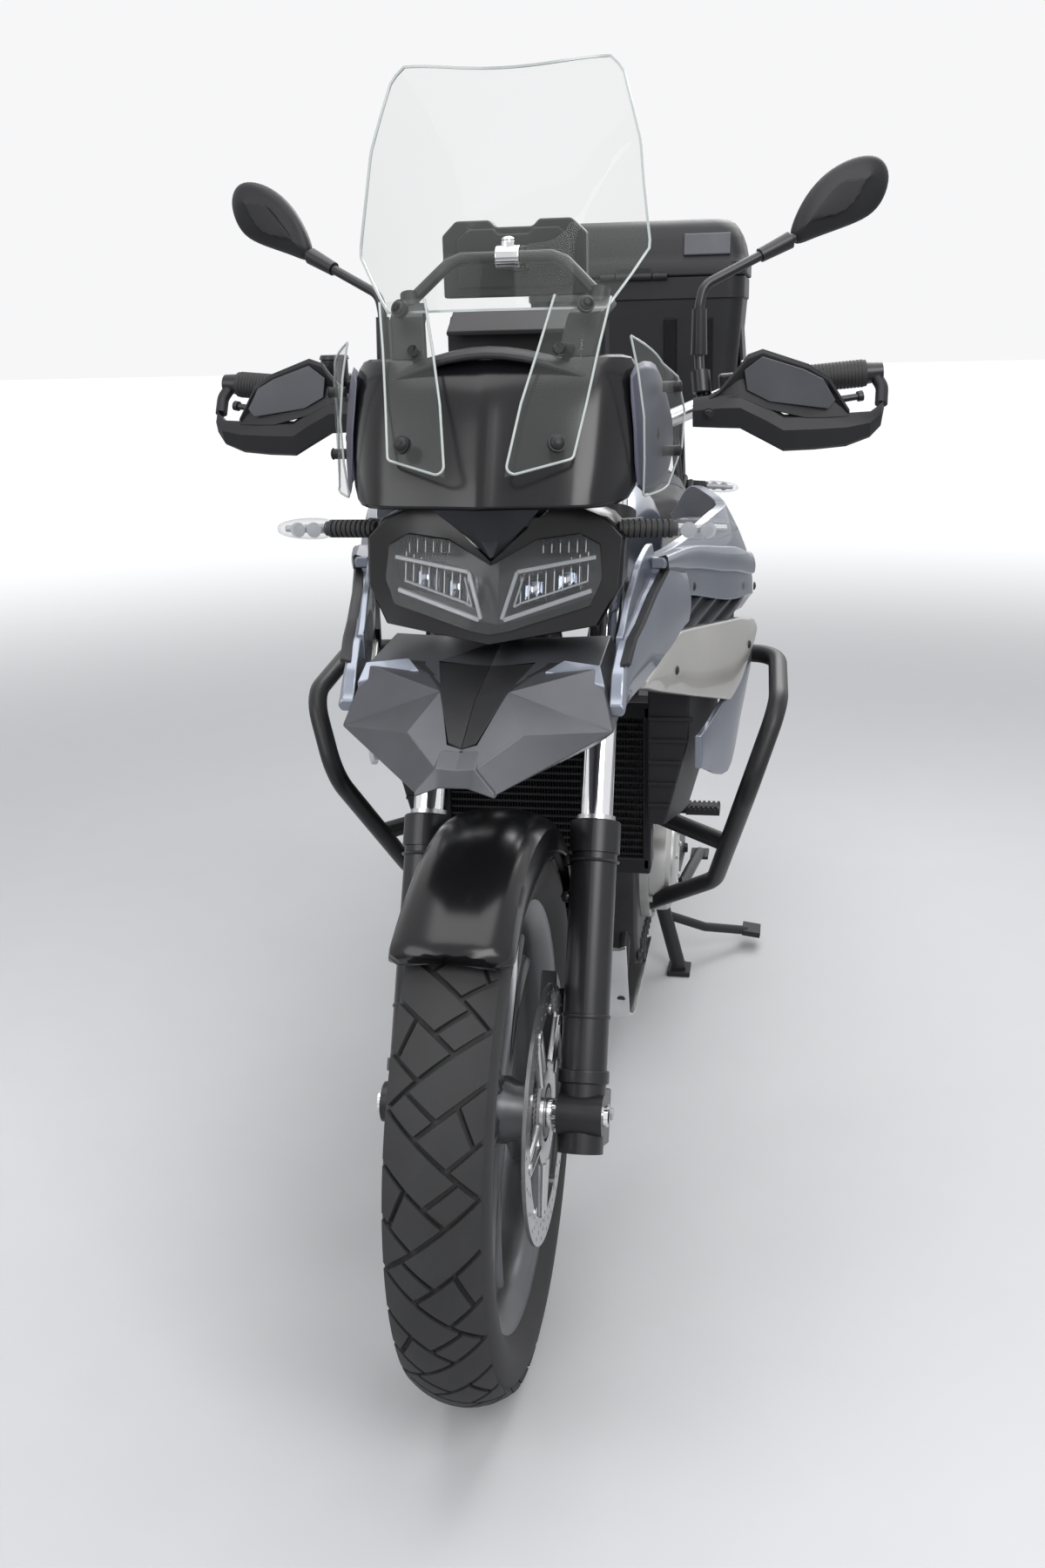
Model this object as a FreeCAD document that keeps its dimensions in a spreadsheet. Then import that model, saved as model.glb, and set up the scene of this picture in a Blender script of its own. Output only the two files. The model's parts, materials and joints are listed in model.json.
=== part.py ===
# Adventure motorcycle parked on its centre stand, in millimetres.
# X points forward, Y to the left and Z up. The origin is on the floor, under the middle of the whole machine.
# Places are given from the front axle: x ahead of it, y across and z above the floor.
import FreeCAD
import Part
import Sketcher
import math
import os

Vector = FreeCAD.Vector
ACROSS = Vector(0, 1, 0)
UP = Vector(0, 0, 1)
AHEAD = Vector(1, 0, 0)

# Driving dimensions: the name of each one and its value, lengths in millimetres and angles in degrees.
SIZES = (
    ("front_axle_x", 867.35),
    ("wheelbase", 1559.0),
    ("rear_lift", 24.0),
    ("head_angle", 63.0),
    ("trail", 104.5),
    ("fit_gap", 0.3),
    ("run_gap", 6.0),
    # wheels
    ("front_tyre_radius", 329.3),
    ("front_tyre_width", 110.0),
    ("front_bead_radius", 241.3),
    ("front_rim_width", 80.0),
    ("front_shoulder_drop", 19.0),
    ("rear_tyre_radius", 320.9),
    ("rear_tyre_width", 150.0),
    ("rear_bead_radius", 215.9),
    ("rear_rim_width", 114.0),
    ("rear_shoulder_drop", 23.0),
    ("shoulder_inset", 1.5),
    ("flange_depth", 13.0),
    ("flange_width", 8.0),
    ("rim_depth", 18.0),
    ("axle_radius", 12.5),
    ("axle_bore", 9.0),
    ("hub_radius", 33.0),
    ("front_hub_width", 133.0),
    ("rear_hub_width", 150.0),
    ("spoke_width", 13.0),
    ("spoke_depth", 26.0),
    ("spoke_spread", 30.0),
    ("front_disc_radius", 152.5),
    ("front_disc_place", 64.0),
    ("rear_disc_radius", 132.5),
    ("rear_disc_place", 72.0),
    ("disc_thickness", 4.5),
    ("disc_ring", 32.0),
    ("carrier_radius", 62.0),
    # chain drive
    ("rear_sprocket_radius", 104.0),
    ("front_sprocket_radius", 40.0),
    ("chain_line", 97.0),
    ("chain_width", 16.0),
    ("chain_height", 15.0),
    # fork and steering
    ("leg_spacing", 210.0),
    ("leg_offset", 41.3),
    ("stanchion_radius", 20.5),
    ("leg_radius", 28.0),
    ("seal_height", 350.0),
    ("lower_clamp_height", 500.0),
    ("lower_clamp_depth", 36.0),
    ("upper_clamp_height", 722.0),
    ("upper_clamp_depth", 28.0),
    ("stem_radius", 14.0),
    ("head_tube_radius", 29.0),
    ("fender_gap", 14.0),
    ("fender_thickness", 4.0),
    ("bar_radius", 11.0),
    ("riser_height", 86.6),
    ("grip_radius", 16.5),
    # frame
    ("frame_tube", 15.0),
    ("rail_tube", 11.0),
    ("pivot_x", -985.0),
    ("pivot_height", 404.0),
    ("plate_inside", 138.0),
    ("plate_thickness", 12.0),
    ("arm_inside", 110.0),
    ("arm_width", 24.0),
    ("spool_radius", 4.0),
    ("spool_ahead", 85.0),
    ("spool_depth", 16.0),
    ("spindle_radius", 10.0),
    ("front_sprocket_x", -900.0),
    ("front_sprocket_z", 385.0),
    ("front_shaft_side", 84.0),
    ("crash_tube", 13.0),
    # stands
    ("stand_x", -1150.0),
    ("stand_height", 250.0),
    ("stand_tube", 14.0),
    ("stand_foot_x", -1126.0),
    ("stand_half_track", 144.0),
    ("prop_x", -905.0),
    ("prop_y", 161.0),
    ("prop_height", 266.0),
    ("prop_length", 262.0),
    ("prop_lean", 24.0),
    ("pin_radius", 6.0),
    # top case
    ("case_front", -1680.0),
    ("case_rear", -2060.0),
    ("case_half_width", 228.0),
    ("case_floor", 1032.0),
    ("case_seam", 1308.0),
    ("case_top", 1420.0),
    ("case_wall", 5.0),
    ("hinge_radius", 4.0),
)

doc = FreeCAD.newDocument("AdventureMotorcycle")
sheet = doc.addObject("Spreadsheet::Sheet", "Sizes")
for row, (alias, value) in enumerate(SIZES, start=1):
    sheet.set("A%d" % row, alias)
    sheet.set("B%d" % row, str(value))
    sheet.setAlias("B%d" % row, alias)
doc.recompute()


class Dim(float):
    """A number that keeps the sheet expression that it came from."""

    def __new__(cls, value, text):
        number = super().__new__(cls, value)
        number.text = text
        return number

    def _join(self, other, sign, value):
        return Dim(value, "(%s %s %s)" % (self.text, sign, text_of(other)))

    def __add__(self, other):
        return self._join(other, "+", float(self) + float(other))

    def __sub__(self, other):
        return self._join(other, "-", float(self) - float(other))

    def __mul__(self, other):
        return self._join(other, "*", float(self) * float(other))

    def __truediv__(self, other):
        return self._join(other, "/", float(self) / float(other))

    def __neg__(self):
        return Dim(-float(self), "(0 - %s)" % self.text)

    def __radd__(self, other):
        return Dim(float(other) + float(self), "(%s + %s)" % (text_of(other), self.text))

    def __rsub__(self, other):
        return Dim(float(other) - float(self), "(%s - %s)" % (text_of(other), self.text))

    def __rmul__(self, other):
        return Dim(float(other) * float(self), "(%s * %s)" % (text_of(other), self.text))


def text_of(number):
    return number.text if isinstance(number, Dim) else repr(float(number))


def size(alias):
    return Dim(float(sheet.get(alias)), "Sizes." + alias)


FRONT_R = size("front_tyre_radius")
REAR_R = size("rear_tyre_radius")
REAR_X = -size("wheelbase")
REAR_Z = REAR_R + size("rear_lift")
GAP = size("fit_gap")

# Places and directions


def at(x, y, z):
    return Vector(size("front_axle_x") + x, y, z)


HEAD = math.radians(size("head_angle"))
STEER = Vector(-math.cos(HEAD), 0, math.sin(HEAD))
STEER_AHEAD = Vector(math.sin(HEAD), 0, math.cos(HEAD))
STEER_REACH = size("trail") * math.cos(HEAD) + FRONT_R * math.sin(HEAD)
STEER_FOOT = at(size("trail"), 0, 0) + STEER * float(STEER_REACH)
AXLE_OFFSET = FRONT_R * math.cos(HEAD) - size("trail") * math.sin(HEAD)


def fork(along, y, ahead):
    """A point by its height along the steering axis, from level with the axle, and its place ahead of it."""
    return STEER_FOOT + STEER * float(along) + STEER_AHEAD * float(ahead) + ACROSS * float(y)


# Shapes


def add(name, shape):
    """A sub-part whose shape is worked out here."""
    part = doc.addObject("Part::Feature", name)
    part.Shape = shape
    part.Label = name
    PARTS[name] = part
    return shape


def mirrored(shape):
    return shape.mirror(Vector(0, 0, 0), ACROSS)


def both_sides(shape):
    return Part.makeCompound([shape, mirrored(shape)])


def join(shapes):
    whole = shapes[0].fuse(shapes[1:])
    return whole


def cut(shape, *others):
    return shape.cut(list(others))


def rod(start, end, radius):
    return Part.makeCylinder(radius, (end - start).Length, start, end - start)


def ring(start, end, radius, bore):
    return rod(start, end, radius).cut(rod(start - (end - start), end + (end - start), bore))


MITRE = math.radians(30)
FLAT = 1e-4


def route(points, bend):
    """The corners of a bent tube's middle line: each bend is made of short mitred pieces round an arc."""
    line = [points[0]]
    for before, corner, after in zip(points, points[1:], points[2:]):
        back = (before - corner).normalize()
        onward = (after - corner).normalize()
        turn = math.pi - back.getAngle(onward)
        count = math.ceil(turn / MITRE)
        if count < 2:
            line.append(corner)
            continue
        reach = min(bend * math.tan(turn / 2), 0.45 * (before - corner).Length, 0.45 * (after - corner).Length)
        radius = reach / math.tan(turn / 2)
        inward = (back + onward).normalize()
        centre = corner + inward * math.hypot(radius, reach)
        across = (onward - back).normalize()
        for index in range(count):
            angle = turn * ((index + 0.5) / count - 0.5)
            spoke = radius / math.cos(turn / count / 2)
            line.append(centre - inward * (spoke * math.cos(angle)) + across * (spoke * math.sin(angle)))
    return line + [points[-1]]


def tube(points, radius, bend=40.0):
    line = route(points, bend)
    circle = Part.Wire(Part.Circle(line[0], line[1] - line[0], radius).toShape())
    return Part.makePolygon(line).makePipeShell([circle], True, False, 1)


def outline(points, corner=0.0):
    """A closed wire through the points, with its corners rounded."""
    if not corner:
        return Part.makePolygon(list(points) + [points[0]])
    edges = []
    count = len(points)
    ends = []
    for index in range(count):
        here = points[index]
        back = points[index - 1] - here
        onward = points[(index + 1) % count] - here
        half = back.getAngle(onward) / 2
        reach = min(corner / math.tan(half), 0.42 * back.Length, 0.42 * onward.Length)
        radius = reach * math.tan(half)
        back.normalize()
        onward.normalize()
        first = here + back * reach
        last = here + onward * reach
        middle = here + (back + onward).normalize() * (math.hypot(radius, reach) - radius)
        ends.append((first, middle, last))
    for index in range(count):
        first, middle, last = ends[index]
        edges.append(Part.Arc(first, middle, last).toShape())
        edges.append(Part.LineSegment(last, ends[(index + 1) % count][0]).toShape())
    return Part.Wire(edges)


def prism(points, along, corner=0.0):
    return Part.Face(outline(points, corner)).extrude(along)


def blunt(points, corner):
    """The same outline with each corner cut into two flats."""
    line = []
    for index, here in enumerate(points):
        back = points[index - 1] - here
        onward = points[(index + 1) % len(points)] - here
        half = back.getAngle(onward) / 2
        reach = min(corner / math.tan(half), 0.42 * back.Length, 0.42 * onward.Length)
        radius = reach * math.tan(half)
        back.normalize()
        onward.normalize()
        inward = (back + onward).normalize()
        line += [here + back * reach, here + inward * (math.hypot(radius, reach) - radius), here + onward * reach]
    return line


def facet(*corners):
    return Part.Face(Part.makePolygon(list(corners) + [corners[0]]))


def loft(sections, corner=0.0):
    """A solid through flat sections, its sides made of flat faces: a quad, or two triangles where it twists."""
    if corner:
        sections = [blunt(points, corner) for points in sections]
    faces = [facet(*sections[0]), facet(*sections[-1])]
    for low, high in zip(sections, sections[1:]):
        for index in range(len(low)):
            a, b = low[index - 1], low[index]
            c, d = high[index], high[index - 1]
            if abs((b - a).cross(c - a).normalize().dot(d - a)) < FLAT:
                faces.append(facet(a, b, c, d))
            elif (c - a).Length < (d - b).Length:
                faces += [facet(a, b, c), facet(a, c, d)]
            else:
                faces += [facet(a, b, d), facet(b, c, d)]
    solid = Part.Solid(Part.Shell(faces))
    solid.fix(FLAT, FLAT, FLAT)
    if solid.Volume < 0:
        solid.reverse()
    return solid


def box(x0, x1, y0, y1, z0, z1):
    return Part.makeBox(x1 - x0, y1 - y0, z1 - z0, at(x0, y0, z0))


def halves(half):
    """A closed list of (y, z) points from the half that lies at positive y, its ends on the middle plane."""
    other = [(-y, z) for y, z in reversed(half) if y > 0]
    return half + other


def station(x, half):
    return [at(x, y, z) for y, z in halves(half)]


def turned(shape, origin, axis, degrees):
    moved = shape.copy()
    moved.rotate(origin, axis, degrees)
    return moved


# Sketched bodies


def new_body(name):
    part = doc.addObject("PartDesign::Body", name)
    part.Label = name
    return part


def plane_of(part, role):
    return [item for item in part.Origin.OriginFeatures if item.Role == role][0]


def sketch(part, name, role, loops):
    """A sketch whose corners are tied to the sheet. Each loop is (corners, arcs); an arc maps the edge that
    starts at a corner to its radius, positive with its centre on the left."""
    drawing = part.newObject("Sketcher::SketchObject", name)
    drawing.AttachmentSupport = [(plane_of(part, role), "")]
    drawing.MapMode = "FlatFace"
    for corners, arcs in loops:
        first = drawing.GeometryCount
        ends = []
        count = len(corners)
        for index, (x, y) in enumerate(corners):
            start = Vector(x, y, 0)
            end = Vector(*corners[(index + 1) % count], 0)
            radius = arcs.get(index)
            if radius is None:
                drawing.addGeometry(Part.LineSegment(start, end), False)
                ends.append((1, 2))
                continue
            side = 1 if radius > 0 else -1
            half = (end - start) * 0.5
            rise = math.sqrt(float(radius) ** 2 - half.Length ** 2)
            centre = start + half + Vector(-half.y, half.x, 0).normalize() * (side * rise)
            angles = [math.atan2((p - centre).y, (p - centre).x) for p in (start, end)][::side]
            circle = Part.Circle(centre, Vector(0, 0, 1), abs(radius))
            drawing.addGeometry(Part.ArcOfCircle(circle, angles[0], angles[1]), False)
            ends.append((1, 2) if side > 0 else (2, 1))
        for index, (x, y) in enumerate(corners):
            edge = first + index
            following = (index + 1) % count
            link = ("Coincident", edge, ends[index][1], first + following, ends[following][0])
            drawing.addConstraint(Sketcher.Constraint(*link))
            for kind, value in (("DistanceX", x), ("DistanceY", y)):
                rule = Sketcher.Constraint(kind, -1, 1, edge, ends[index][0], float(value))
                tie(drawing, drawing.addConstraint(rule), value)
            radius = arcs.get(index)
            if radius is not None:
                rule = Sketcher.Constraint("Radius", edge, abs(float(radius)))
                tie(drawing, drawing.addConstraint(rule), radius if radius > 0 else -radius)
    return drawing


def tie(drawing, number, value):
    if isinstance(value, Dim):
        drawing.setExpression("Constraints[%d]" % number, value.text)


def revolve(part, drawing, name):
    feature = part.newObject("PartDesign::Revolution", name)
    feature.Profile = drawing
    feature.ReferenceAxis = (drawing, ["V_Axis"])
    feature.Angle = 360
    return feature


def pad(part, drawing, name, length, middle=True):
    feature = part.newObject("PartDesign::Pad", name)
    feature.Profile = drawing
    feature.Midplane = middle
    feature.Length = float(length)
    if isinstance(length, Dim):
        feature.setExpression("Length", length.text)
    return feature


def around(part, features, name, count):
    """Repeat features about the Y axis of the body."""
    pattern = part.newObject("PartDesign::PolarPattern", name)
    pattern.Originals = features
    axis = [item for item in part.Origin.OriginFeatures if item.Role == "Y_Axis"][0]
    pattern.Axis = (axis, [""])
    pattern.Angle = 360
    pattern.Occurrences = count
    part.Tip = pattern
    return pattern


def move(part, x, y, z):
    part.Placement = FreeCAD.Placement(Vector(float(x), float(y), float(z)), FreeCAD.Rotation())
    for axis, value in (("x", x), ("y", y), ("z", z)):
        if isinstance(value, Dim):
            part.setExpression(".Placement.Base." + axis, value.text)


def node(part, name):
    part.Label = name
    PARTS[name] = part


PARTS = {}


# Wheels


def wall_line(bead, rim_width, shoulder):
    """The tyre's lower wall: its place across at the bead, and the radius where it is widest."""
    return rim_width / 2 - size("flange_width"), bead * 0.4 + shoulder * 0.6


def tyre(name, outer, bead, width, rim_width, drop, x, z):
    """A solid ring of cones: crown, shoulders, and walls that lean on the rim's flanges."""
    part = new_body(name)
    shoulder = outer - drop
    seat, widest = wall_line(bead, rim_width, shoulder)
    half = width / 2 - size("shoulder_inset")
    side = [(bead, seat), (widest, width / 2), (shoulder, half), (outer, half * 0.36)]
    corners = [(r, -y) for r, y in side] + [(r, y) for r, y in reversed(side)]
    drawing = sketch(part, name + "_section", "XY_Plane", [(corners, {})])
    revolve(part, drawing, name + "_ring")
    move(part, x, 0, z)
    node(part, name)


def rim(name, bead, width, rim_width, shoulder, hub_width, pairs, x, z):
    """Cast wheel: flanged barrel, bored hub and pairs of straight spokes."""
    part = new_body(name)
    flange = bead + size("flange_depth")
    half = rim_width / 2
    seat, widest = wall_line(bead, rim_width, shoulder)
    lean = seat + (width / 2 - seat) / (widest - bead) * size("flange_depth")
    inner = bead - size("rim_depth")
    side = [(inner, half), (flange, half), (flange, lean), (bead, seat)]
    barrel = [(r, -y) for r, y in side] + [(r, y) for r, y in reversed(side)]
    bore = size("axle_radius") + GAP
    hub_half = hub_width / 2
    hub = [(bore, -hub_half), (size("hub_radius"), -hub_half), (size("hub_radius"), hub_half), (bore, hub_half)]
    revolve(part, sketch(part, name + "_barrel_line", "XY_Plane", [(barrel, {})]), name + "_barrel")
    spread = size("spoke_spread")
    width = size("spoke_width")
    root = size("hub_radius") - 6
    tip = inner + 6
    spokes = []
    for side in (1, -1):
        near = spread * (0.25 * side)
        far = spread * side
        quad = [(root, near - width * 0.5), (tip, far - width * 0.5), (tip, far + width * 0.5),
                (root, near + width * 0.5)]
        spokes.append((quad, {}))
    hub_drawing = sketch(part, name + "_hub_line", "XY_Plane", [(hub, {})])
    pair = []
    for index, loop in enumerate(spokes):
        drawing = sketch(part, "%s_spoke_line%d" % (name, index), "XZ_Plane", [loop])
        pair.append(pad(part, drawing, "%s_spoke%d" % (name, index), size("spoke_depth")))
    around(part, pair, name + "_spokes", pairs)
    part.Tip = revolve(part, hub_drawing, name + "_hub")
    move(part, x, 0, z)
    node(part, name)


def disc(radius, place, x, z):
    """Brake disc: friction ring on a five-armed carrier, pushed on to the hub's end."""
    half = size("disc_thickness") / 2
    inner = radius - size("disc_ring")
    centre = Vector(0, place, 0)
    plate = ring(centre - ACROSS * half, centre + ACROSS * half, radius, inner)
    carrier = size("carrier_radius")
    hub = ring(centre - ACROSS * half, centre + ACROSS * half, carrier, size("hub_radius") + GAP)
    arm = Part.makeBox(inner - carrier + 6, 2 * half, 16, Vector(carrier - 3, place - half, -8))
    arms = [turned(arm, Vector(0, 0, 0), ACROSS, 72 * index) for index in range(5)]
    whole = join([plate, hub] + arms)
    whole.translate(at(x, 0, z))
    return whole


tyre("front_tyre", FRONT_R, size("front_bead_radius"), size("front_tyre_width"), size("front_rim_width"),
     size("front_shoulder_drop"), size("front_axle_x"), FRONT_R)
tyre("rear_tyre", REAR_R, size("rear_bead_radius"), size("rear_tyre_width"), size("rear_rim_width"),
     size("rear_shoulder_drop"), size("front_axle_x") + REAR_X, REAR_Z)
rim("front_rim", size("front_bead_radius"), size("front_tyre_width"), size("front_rim_width"),
    FRONT_R - size("front_shoulder_drop"), size("front_hub_width"), 5, size("front_axle_x"), FRONT_R)
rim("rear_rim", size("rear_bead_radius"), size("rear_tyre_width"), size("rear_rim_width"),
    REAR_R - size("rear_shoulder_drop"), size("rear_hub_width"), 5, size("front_axle_x") + REAR_X, REAR_Z)
doc.recompute()
add("front_discs", both_sides(disc(size("front_disc_radius"), size("front_disc_place"), 0, FRONT_R)))
add("rear_disc", disc(size("rear_disc_radius"), -size("rear_disc_place"), REAR_X, REAR_Z))


def rear_sprocket():
    centre = at(REAR_X, size("chain_line"), REAR_Z)
    half = 3.5
    rim_radius = size("rear_sprocket_radius") - size("chain_height") / 2 - 1
    plate = ring(centre - ACROSS * half, centre + ACROSS * half, rim_radius, 74)
    hub = ring(at(REAR_X, size("rear_hub_width") / 2, REAR_Z), centre + ACROSS * half, 78, size("axle_radius") + GAP)
    return join([plate, hub])


add("rear_sprocket", rear_sprocket())

# Fork and steering


def fork_lower():
    y = size("leg_spacing") / 2
    leg = rod(fork(-45, y, size("leg_offset")), fork(size("seal_height"), y, size("leg_offset")), size("leg_radius"))
    collar = rod(fork(size("seal_height") - 38, y, size("leg_offset")),
                 fork(size("seal_height"), y, size("leg_offset")), size("leg_radius") + 3)
    boss = rod(fork(0, y - 26, AXLE_OFFSET), fork(0, y + 28, AXLE_OFFSET), 24)
    lugs = [rod(fork(along, y - 20, -12), fork(along, y + 2, -12), 12) for along in (75, 155)]
    webs = [prism([fork(along - 12, y - 20, -12), fork(along + 12, y - 20, -12), fork(along + 12, y - 20, 30),
                   fork(along - 12, y - 20, 30)], ACROSS * 14.0) for along in (75, 155)]
    leg = join([leg, collar, boss] + lugs + webs)
    return cut(leg, rod(fork(0, 0, AXLE_OFFSET), fork(0, 200, AXLE_OFFSET), size("axle_radius") + GAP))


def stanchion():
    y = size("leg_spacing") / 2
    return rod(fork(size("seal_height"), y, size("leg_offset")),
               fork(size("upper_clamp_height") + size("upper_clamp_depth") + 16, y, size("leg_offset")),
               size("stanchion_radius"))


def triple_clamps():
    spacing = size("leg_spacing") / 2
    offset = float(size("leg_offset"))
    plates = []
    for base, depth in (("lower_clamp_height", "lower_clamp_depth"), ("upper_clamp_height", "upper_clamp_depth")):
        low = size(base)
        high = low + size(depth)
        half = [(-26, 16), (-20, 60), (offset - 34, spacing + 12), (offset + 30, spacing + 6), (offset + 22, 40)]
        loop = [fork(low, y, t) for t, y in half] + [fork(low, -y, t) for t, y in reversed(half)]
        plate = prism(loop, STEER * float(high - low), 14)
        eyes = [rod(fork(low, side * spacing, offset), fork(high, side * spacing, offset),
                    size("stanchion_radius") + 11) for side in (1, -1)]
        plates.append(join([plate] + eyes))
    top = size("upper_clamp_height") + size("upper_clamp_depth")
    stem = rod(fork(size("lower_clamp_height"), 0, 0), fork(size("upper_clamp_height"), 0, 0), size("stem_radius"))
    cap = top + size("riser_height") + size("bar_radius") + 2.4
    risers = [rod(fork(top, side * 48, 37), fork(cap, side * 48, 37), 15) for side in (1, -1)]
    whole = join(plates + [stem] + risers)
    legs = [rod(fork(200, side * spacing, offset), fork(top + 100, side * spacing, offset),
                size("stanchion_radius")) for side in (1, -1)]
    return cut(whole, *legs, handlebar())


BAR_MIDDLE = fork(size("upper_clamp_height") + size("upper_clamp_depth") + size("riser_height"), 0, 37)


def on_bar(x, y, z):
    """A place given from the middle of the handlebar, where the risers hold it."""
    return BAR_MIDDLE + Vector(x, y, z)


BAR_HALF = [on_bar(-65, 428, 86), on_bar(-44, 275, 74), on_bar(0, 85, 0)]


def handlebar():
    ends = [Vector(p.x, -p.y, p.z) for p in reversed(BAR_HALF)]
    return tube(BAR_HALF + ends, size("bar_radius"), 60)


def grip():
    end = BAR_HALF[0]
    inner = BAR_HALF[1]
    along = (inner - end).normalize()
    start = end + along * 10
    body = rod(start, start + along * 124, size("grip_radius"))
    flange = rod(start + along * 118, start + along * 126, size("grip_radius") + 5)
    return cut(join([body, flange]), handlebar())


def hand_control():
    end = BAR_HALF[0]
    along = (BAR_HALF[1] - end).normalize()
    start = end + along * 137
    block = rod(start, start + along * 34, 21)
    perch = rod(start + along * 2, start + along * 22, 25)
    lever = tube([on_bar(-39, 270, 56), on_bar(-14, 292, 50), on_bar(-20, 350, 52), on_bar(-31, 420, 60)], 4.5, 30)
    well = rod(start + along * 20 + Vector(8, 0, 18), start + along * 20 + Vector(8, 0, 44), 15)
    return cut(join([block, perch, lever, well]), handlebar())


def handguard():
    rows = [(210, 79, 29, 15), (300, 116, -2, 5), (380, 102, 10, -3), (446, 72, 38, -21)]
    sections = []
    for y, high, low, x in rows:
        middle = (high + low) / 2
        front = [on_bar(x - 14, y, high), on_bar(x, y, middle), on_bar(x - 18, y, low)]
        back = [p - AHEAD * 6.0 for p in reversed(front)]
        sections.append(front + back)
    shield = loft(sections)
    arm = tube([on_bar(-26, 440, 56), on_bar(-55, 442, 70), BAR_HALF[0] + Vector(0, 3, 0)], 7, 16)
    return cut(join([shield, arm]), handlebar())


def mirror():
    line = [(318, 254), (326, 319), (352, 342), (436, 346), (448, 330), (425, 272), (400, 254)]
    face = [on_bar(-108 - 0.3 * (y - 318), y, z) for y, z in line]
    thin = [p + Vector(-16, 0, 0) for p in face]
    centre = sum(face, Vector(0, 0, 0)) * (1.0 / len(face))
    bulge = [centre + (p - centre) * 0.72 + Vector(16, 0, 0) for p in face]
    head = loft([thin, face, bulge], 8)
    stalk = tube([on_bar(-27, 214, 50), on_bar(-43, 214, 114), on_bar(-59, 220, 189), on_bar(-44, 285, 234),
                  on_bar(-115, 345, 279)], 6, 30)
    clamp = rod(on_bar(-27, 214, 62), on_bar(-34, 214, 84), 11)
    return cut(join([head, stalk, clamp]), handlebar())


def front_fender():
    inner = FRONT_R + size("fender_gap")
    thick = float(size("fender_thickness"))
    profile = [(-45, 63), (-6, 60), (6, 46), (12, 24)]
    outer = [(r + thick, y + (thick if r < 0 else 1)) for r, y in profile]
    points = profile + [(r, -y) for r, y in reversed(profile)]
    points += [(r, -y) for r, y in outer] + [(r, y) for r, y in reversed(outer)]
    start = [Vector(inner + r, y, 0) for r, y in points]
    face = Part.Face(Part.makePolygon(start + [start[0]]))
    face.rotate(Vector(0, 0, 0), ACROSS, -54)
    arch = face.revolve(Vector(0, 0, 0), -ACROSS, 100)
    arch.translate(at(0, 0, FRONT_R))
    y = size("leg_spacing") / 2
    stays = [prism([fork(along - 30, side * 66, 20), fork(along + 30, side * 66, 20), fork(along + 26, side * 66, 64),
                    fork(along - 26, side * 66, 64)], ACROSS * float(side * (y - 66 - size("leg_radius") + 3)))
             for side in (1, -1) for along in (280,)]
    legs = [rod(fork(100, side * y, size("leg_offset")), fork(500, side * y, size("leg_offset")),
                size("leg_radius")) for side in (1, -1)]
    return cut(join([arch] + stays), *legs)


def front_caliper():
    y = size("front_disc_place")
    body = [fork(58, y - 26, -22), fork(168, y - 26, -22), fork(158, y - 26, -70), fork(88, y - 26, -84)]
    block = prism(body, ACROSS * 52.0, 12)
    slot = rod(at(0, y - 8, FRONT_R), at(0, y + 8, FRONT_R), size("front_disc_radius") + size("run_gap"))
    lugs = [rod(fork(along, size("leg_spacing") / 2 - 20, -12), fork(along, size("leg_spacing") / 2 + 2, -12), 12)
            for along in (75, 155)]
    return cut(block, slot, *lugs)


def front_axle():
    """Hollow axle with a spacer between the hub and each leg."""
    half = size("leg_spacing") / 2 + 34
    inside = size("front_hub_width") / 2 + 1
    outside = size("leg_spacing") / 2 - 26
    spacers = [rod(at(0, side * inside, FRONT_R), at(0, side * outside, FRONT_R), size("axle_radius") + 5)
               for side in (1, -1)]
    solid = join([rod(at(0, -half, FRONT_R), at(0, half, FRONT_R), size("axle_radius"))] + spacers)
    return cut(solid, rod(at(0, -half - 1, FRONT_R), at(0, half + 1, FRONT_R), size("axle_bore")),
               PARTS["fork_lowers"].Shape)


add("fork_lowers", both_sides(fork_lower()))
add("fork_stanchions", both_sides(stanchion()))
add("triple_clamps", triple_clamps())
add("front_axle", front_axle())
add("handlebar", handlebar())
add("grips", both_sides(grip()))
add("hand_controls", both_sides(hand_control()))
add("handguards", both_sides(handguard()))
add("mirrors", both_sides(mirror()))
add("front_mudguard", front_fender())
add("front_calipers", both_sides(front_caliper()))

# Frame, engine and exhaust

PIVOT_X = size("pivot_x")
PIVOT_Z = size("pivot_height")
PLATE = size("plate_inside")
RAIL = ((-800, 128, 706), (-1010, 120, 730), (-1300, 112, 782), (-1760, 100, 890))


PROP = at(size("prop_x"), size("prop_y"), size("prop_height"))
PROP_LEAN = math.radians(size("prop_lean"))
PROP_PIN = Vector(0, math.cos(PROP_LEAN), math.sin(PROP_LEAN))
EYE_HALF = 9.0
EYE_RADIUS = 16.0


def rail_at(x):
    """The seat rail's middle line: its place across and its height at x."""
    for (x0, y0, z0), (x1, y1, z1) in zip(RAIL, RAIL[1:]):
        share = (x - x0) / (x1 - x0)
        if share <= 1:
            break
    return y0 + share * (y1 - y0), z0 + share * (z1 - z0)


def rail_top(x):
    """Height that clears the rails, for what sits on them."""
    return rail_at(x)[1] + size("rail_tube") * 1.06


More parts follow.
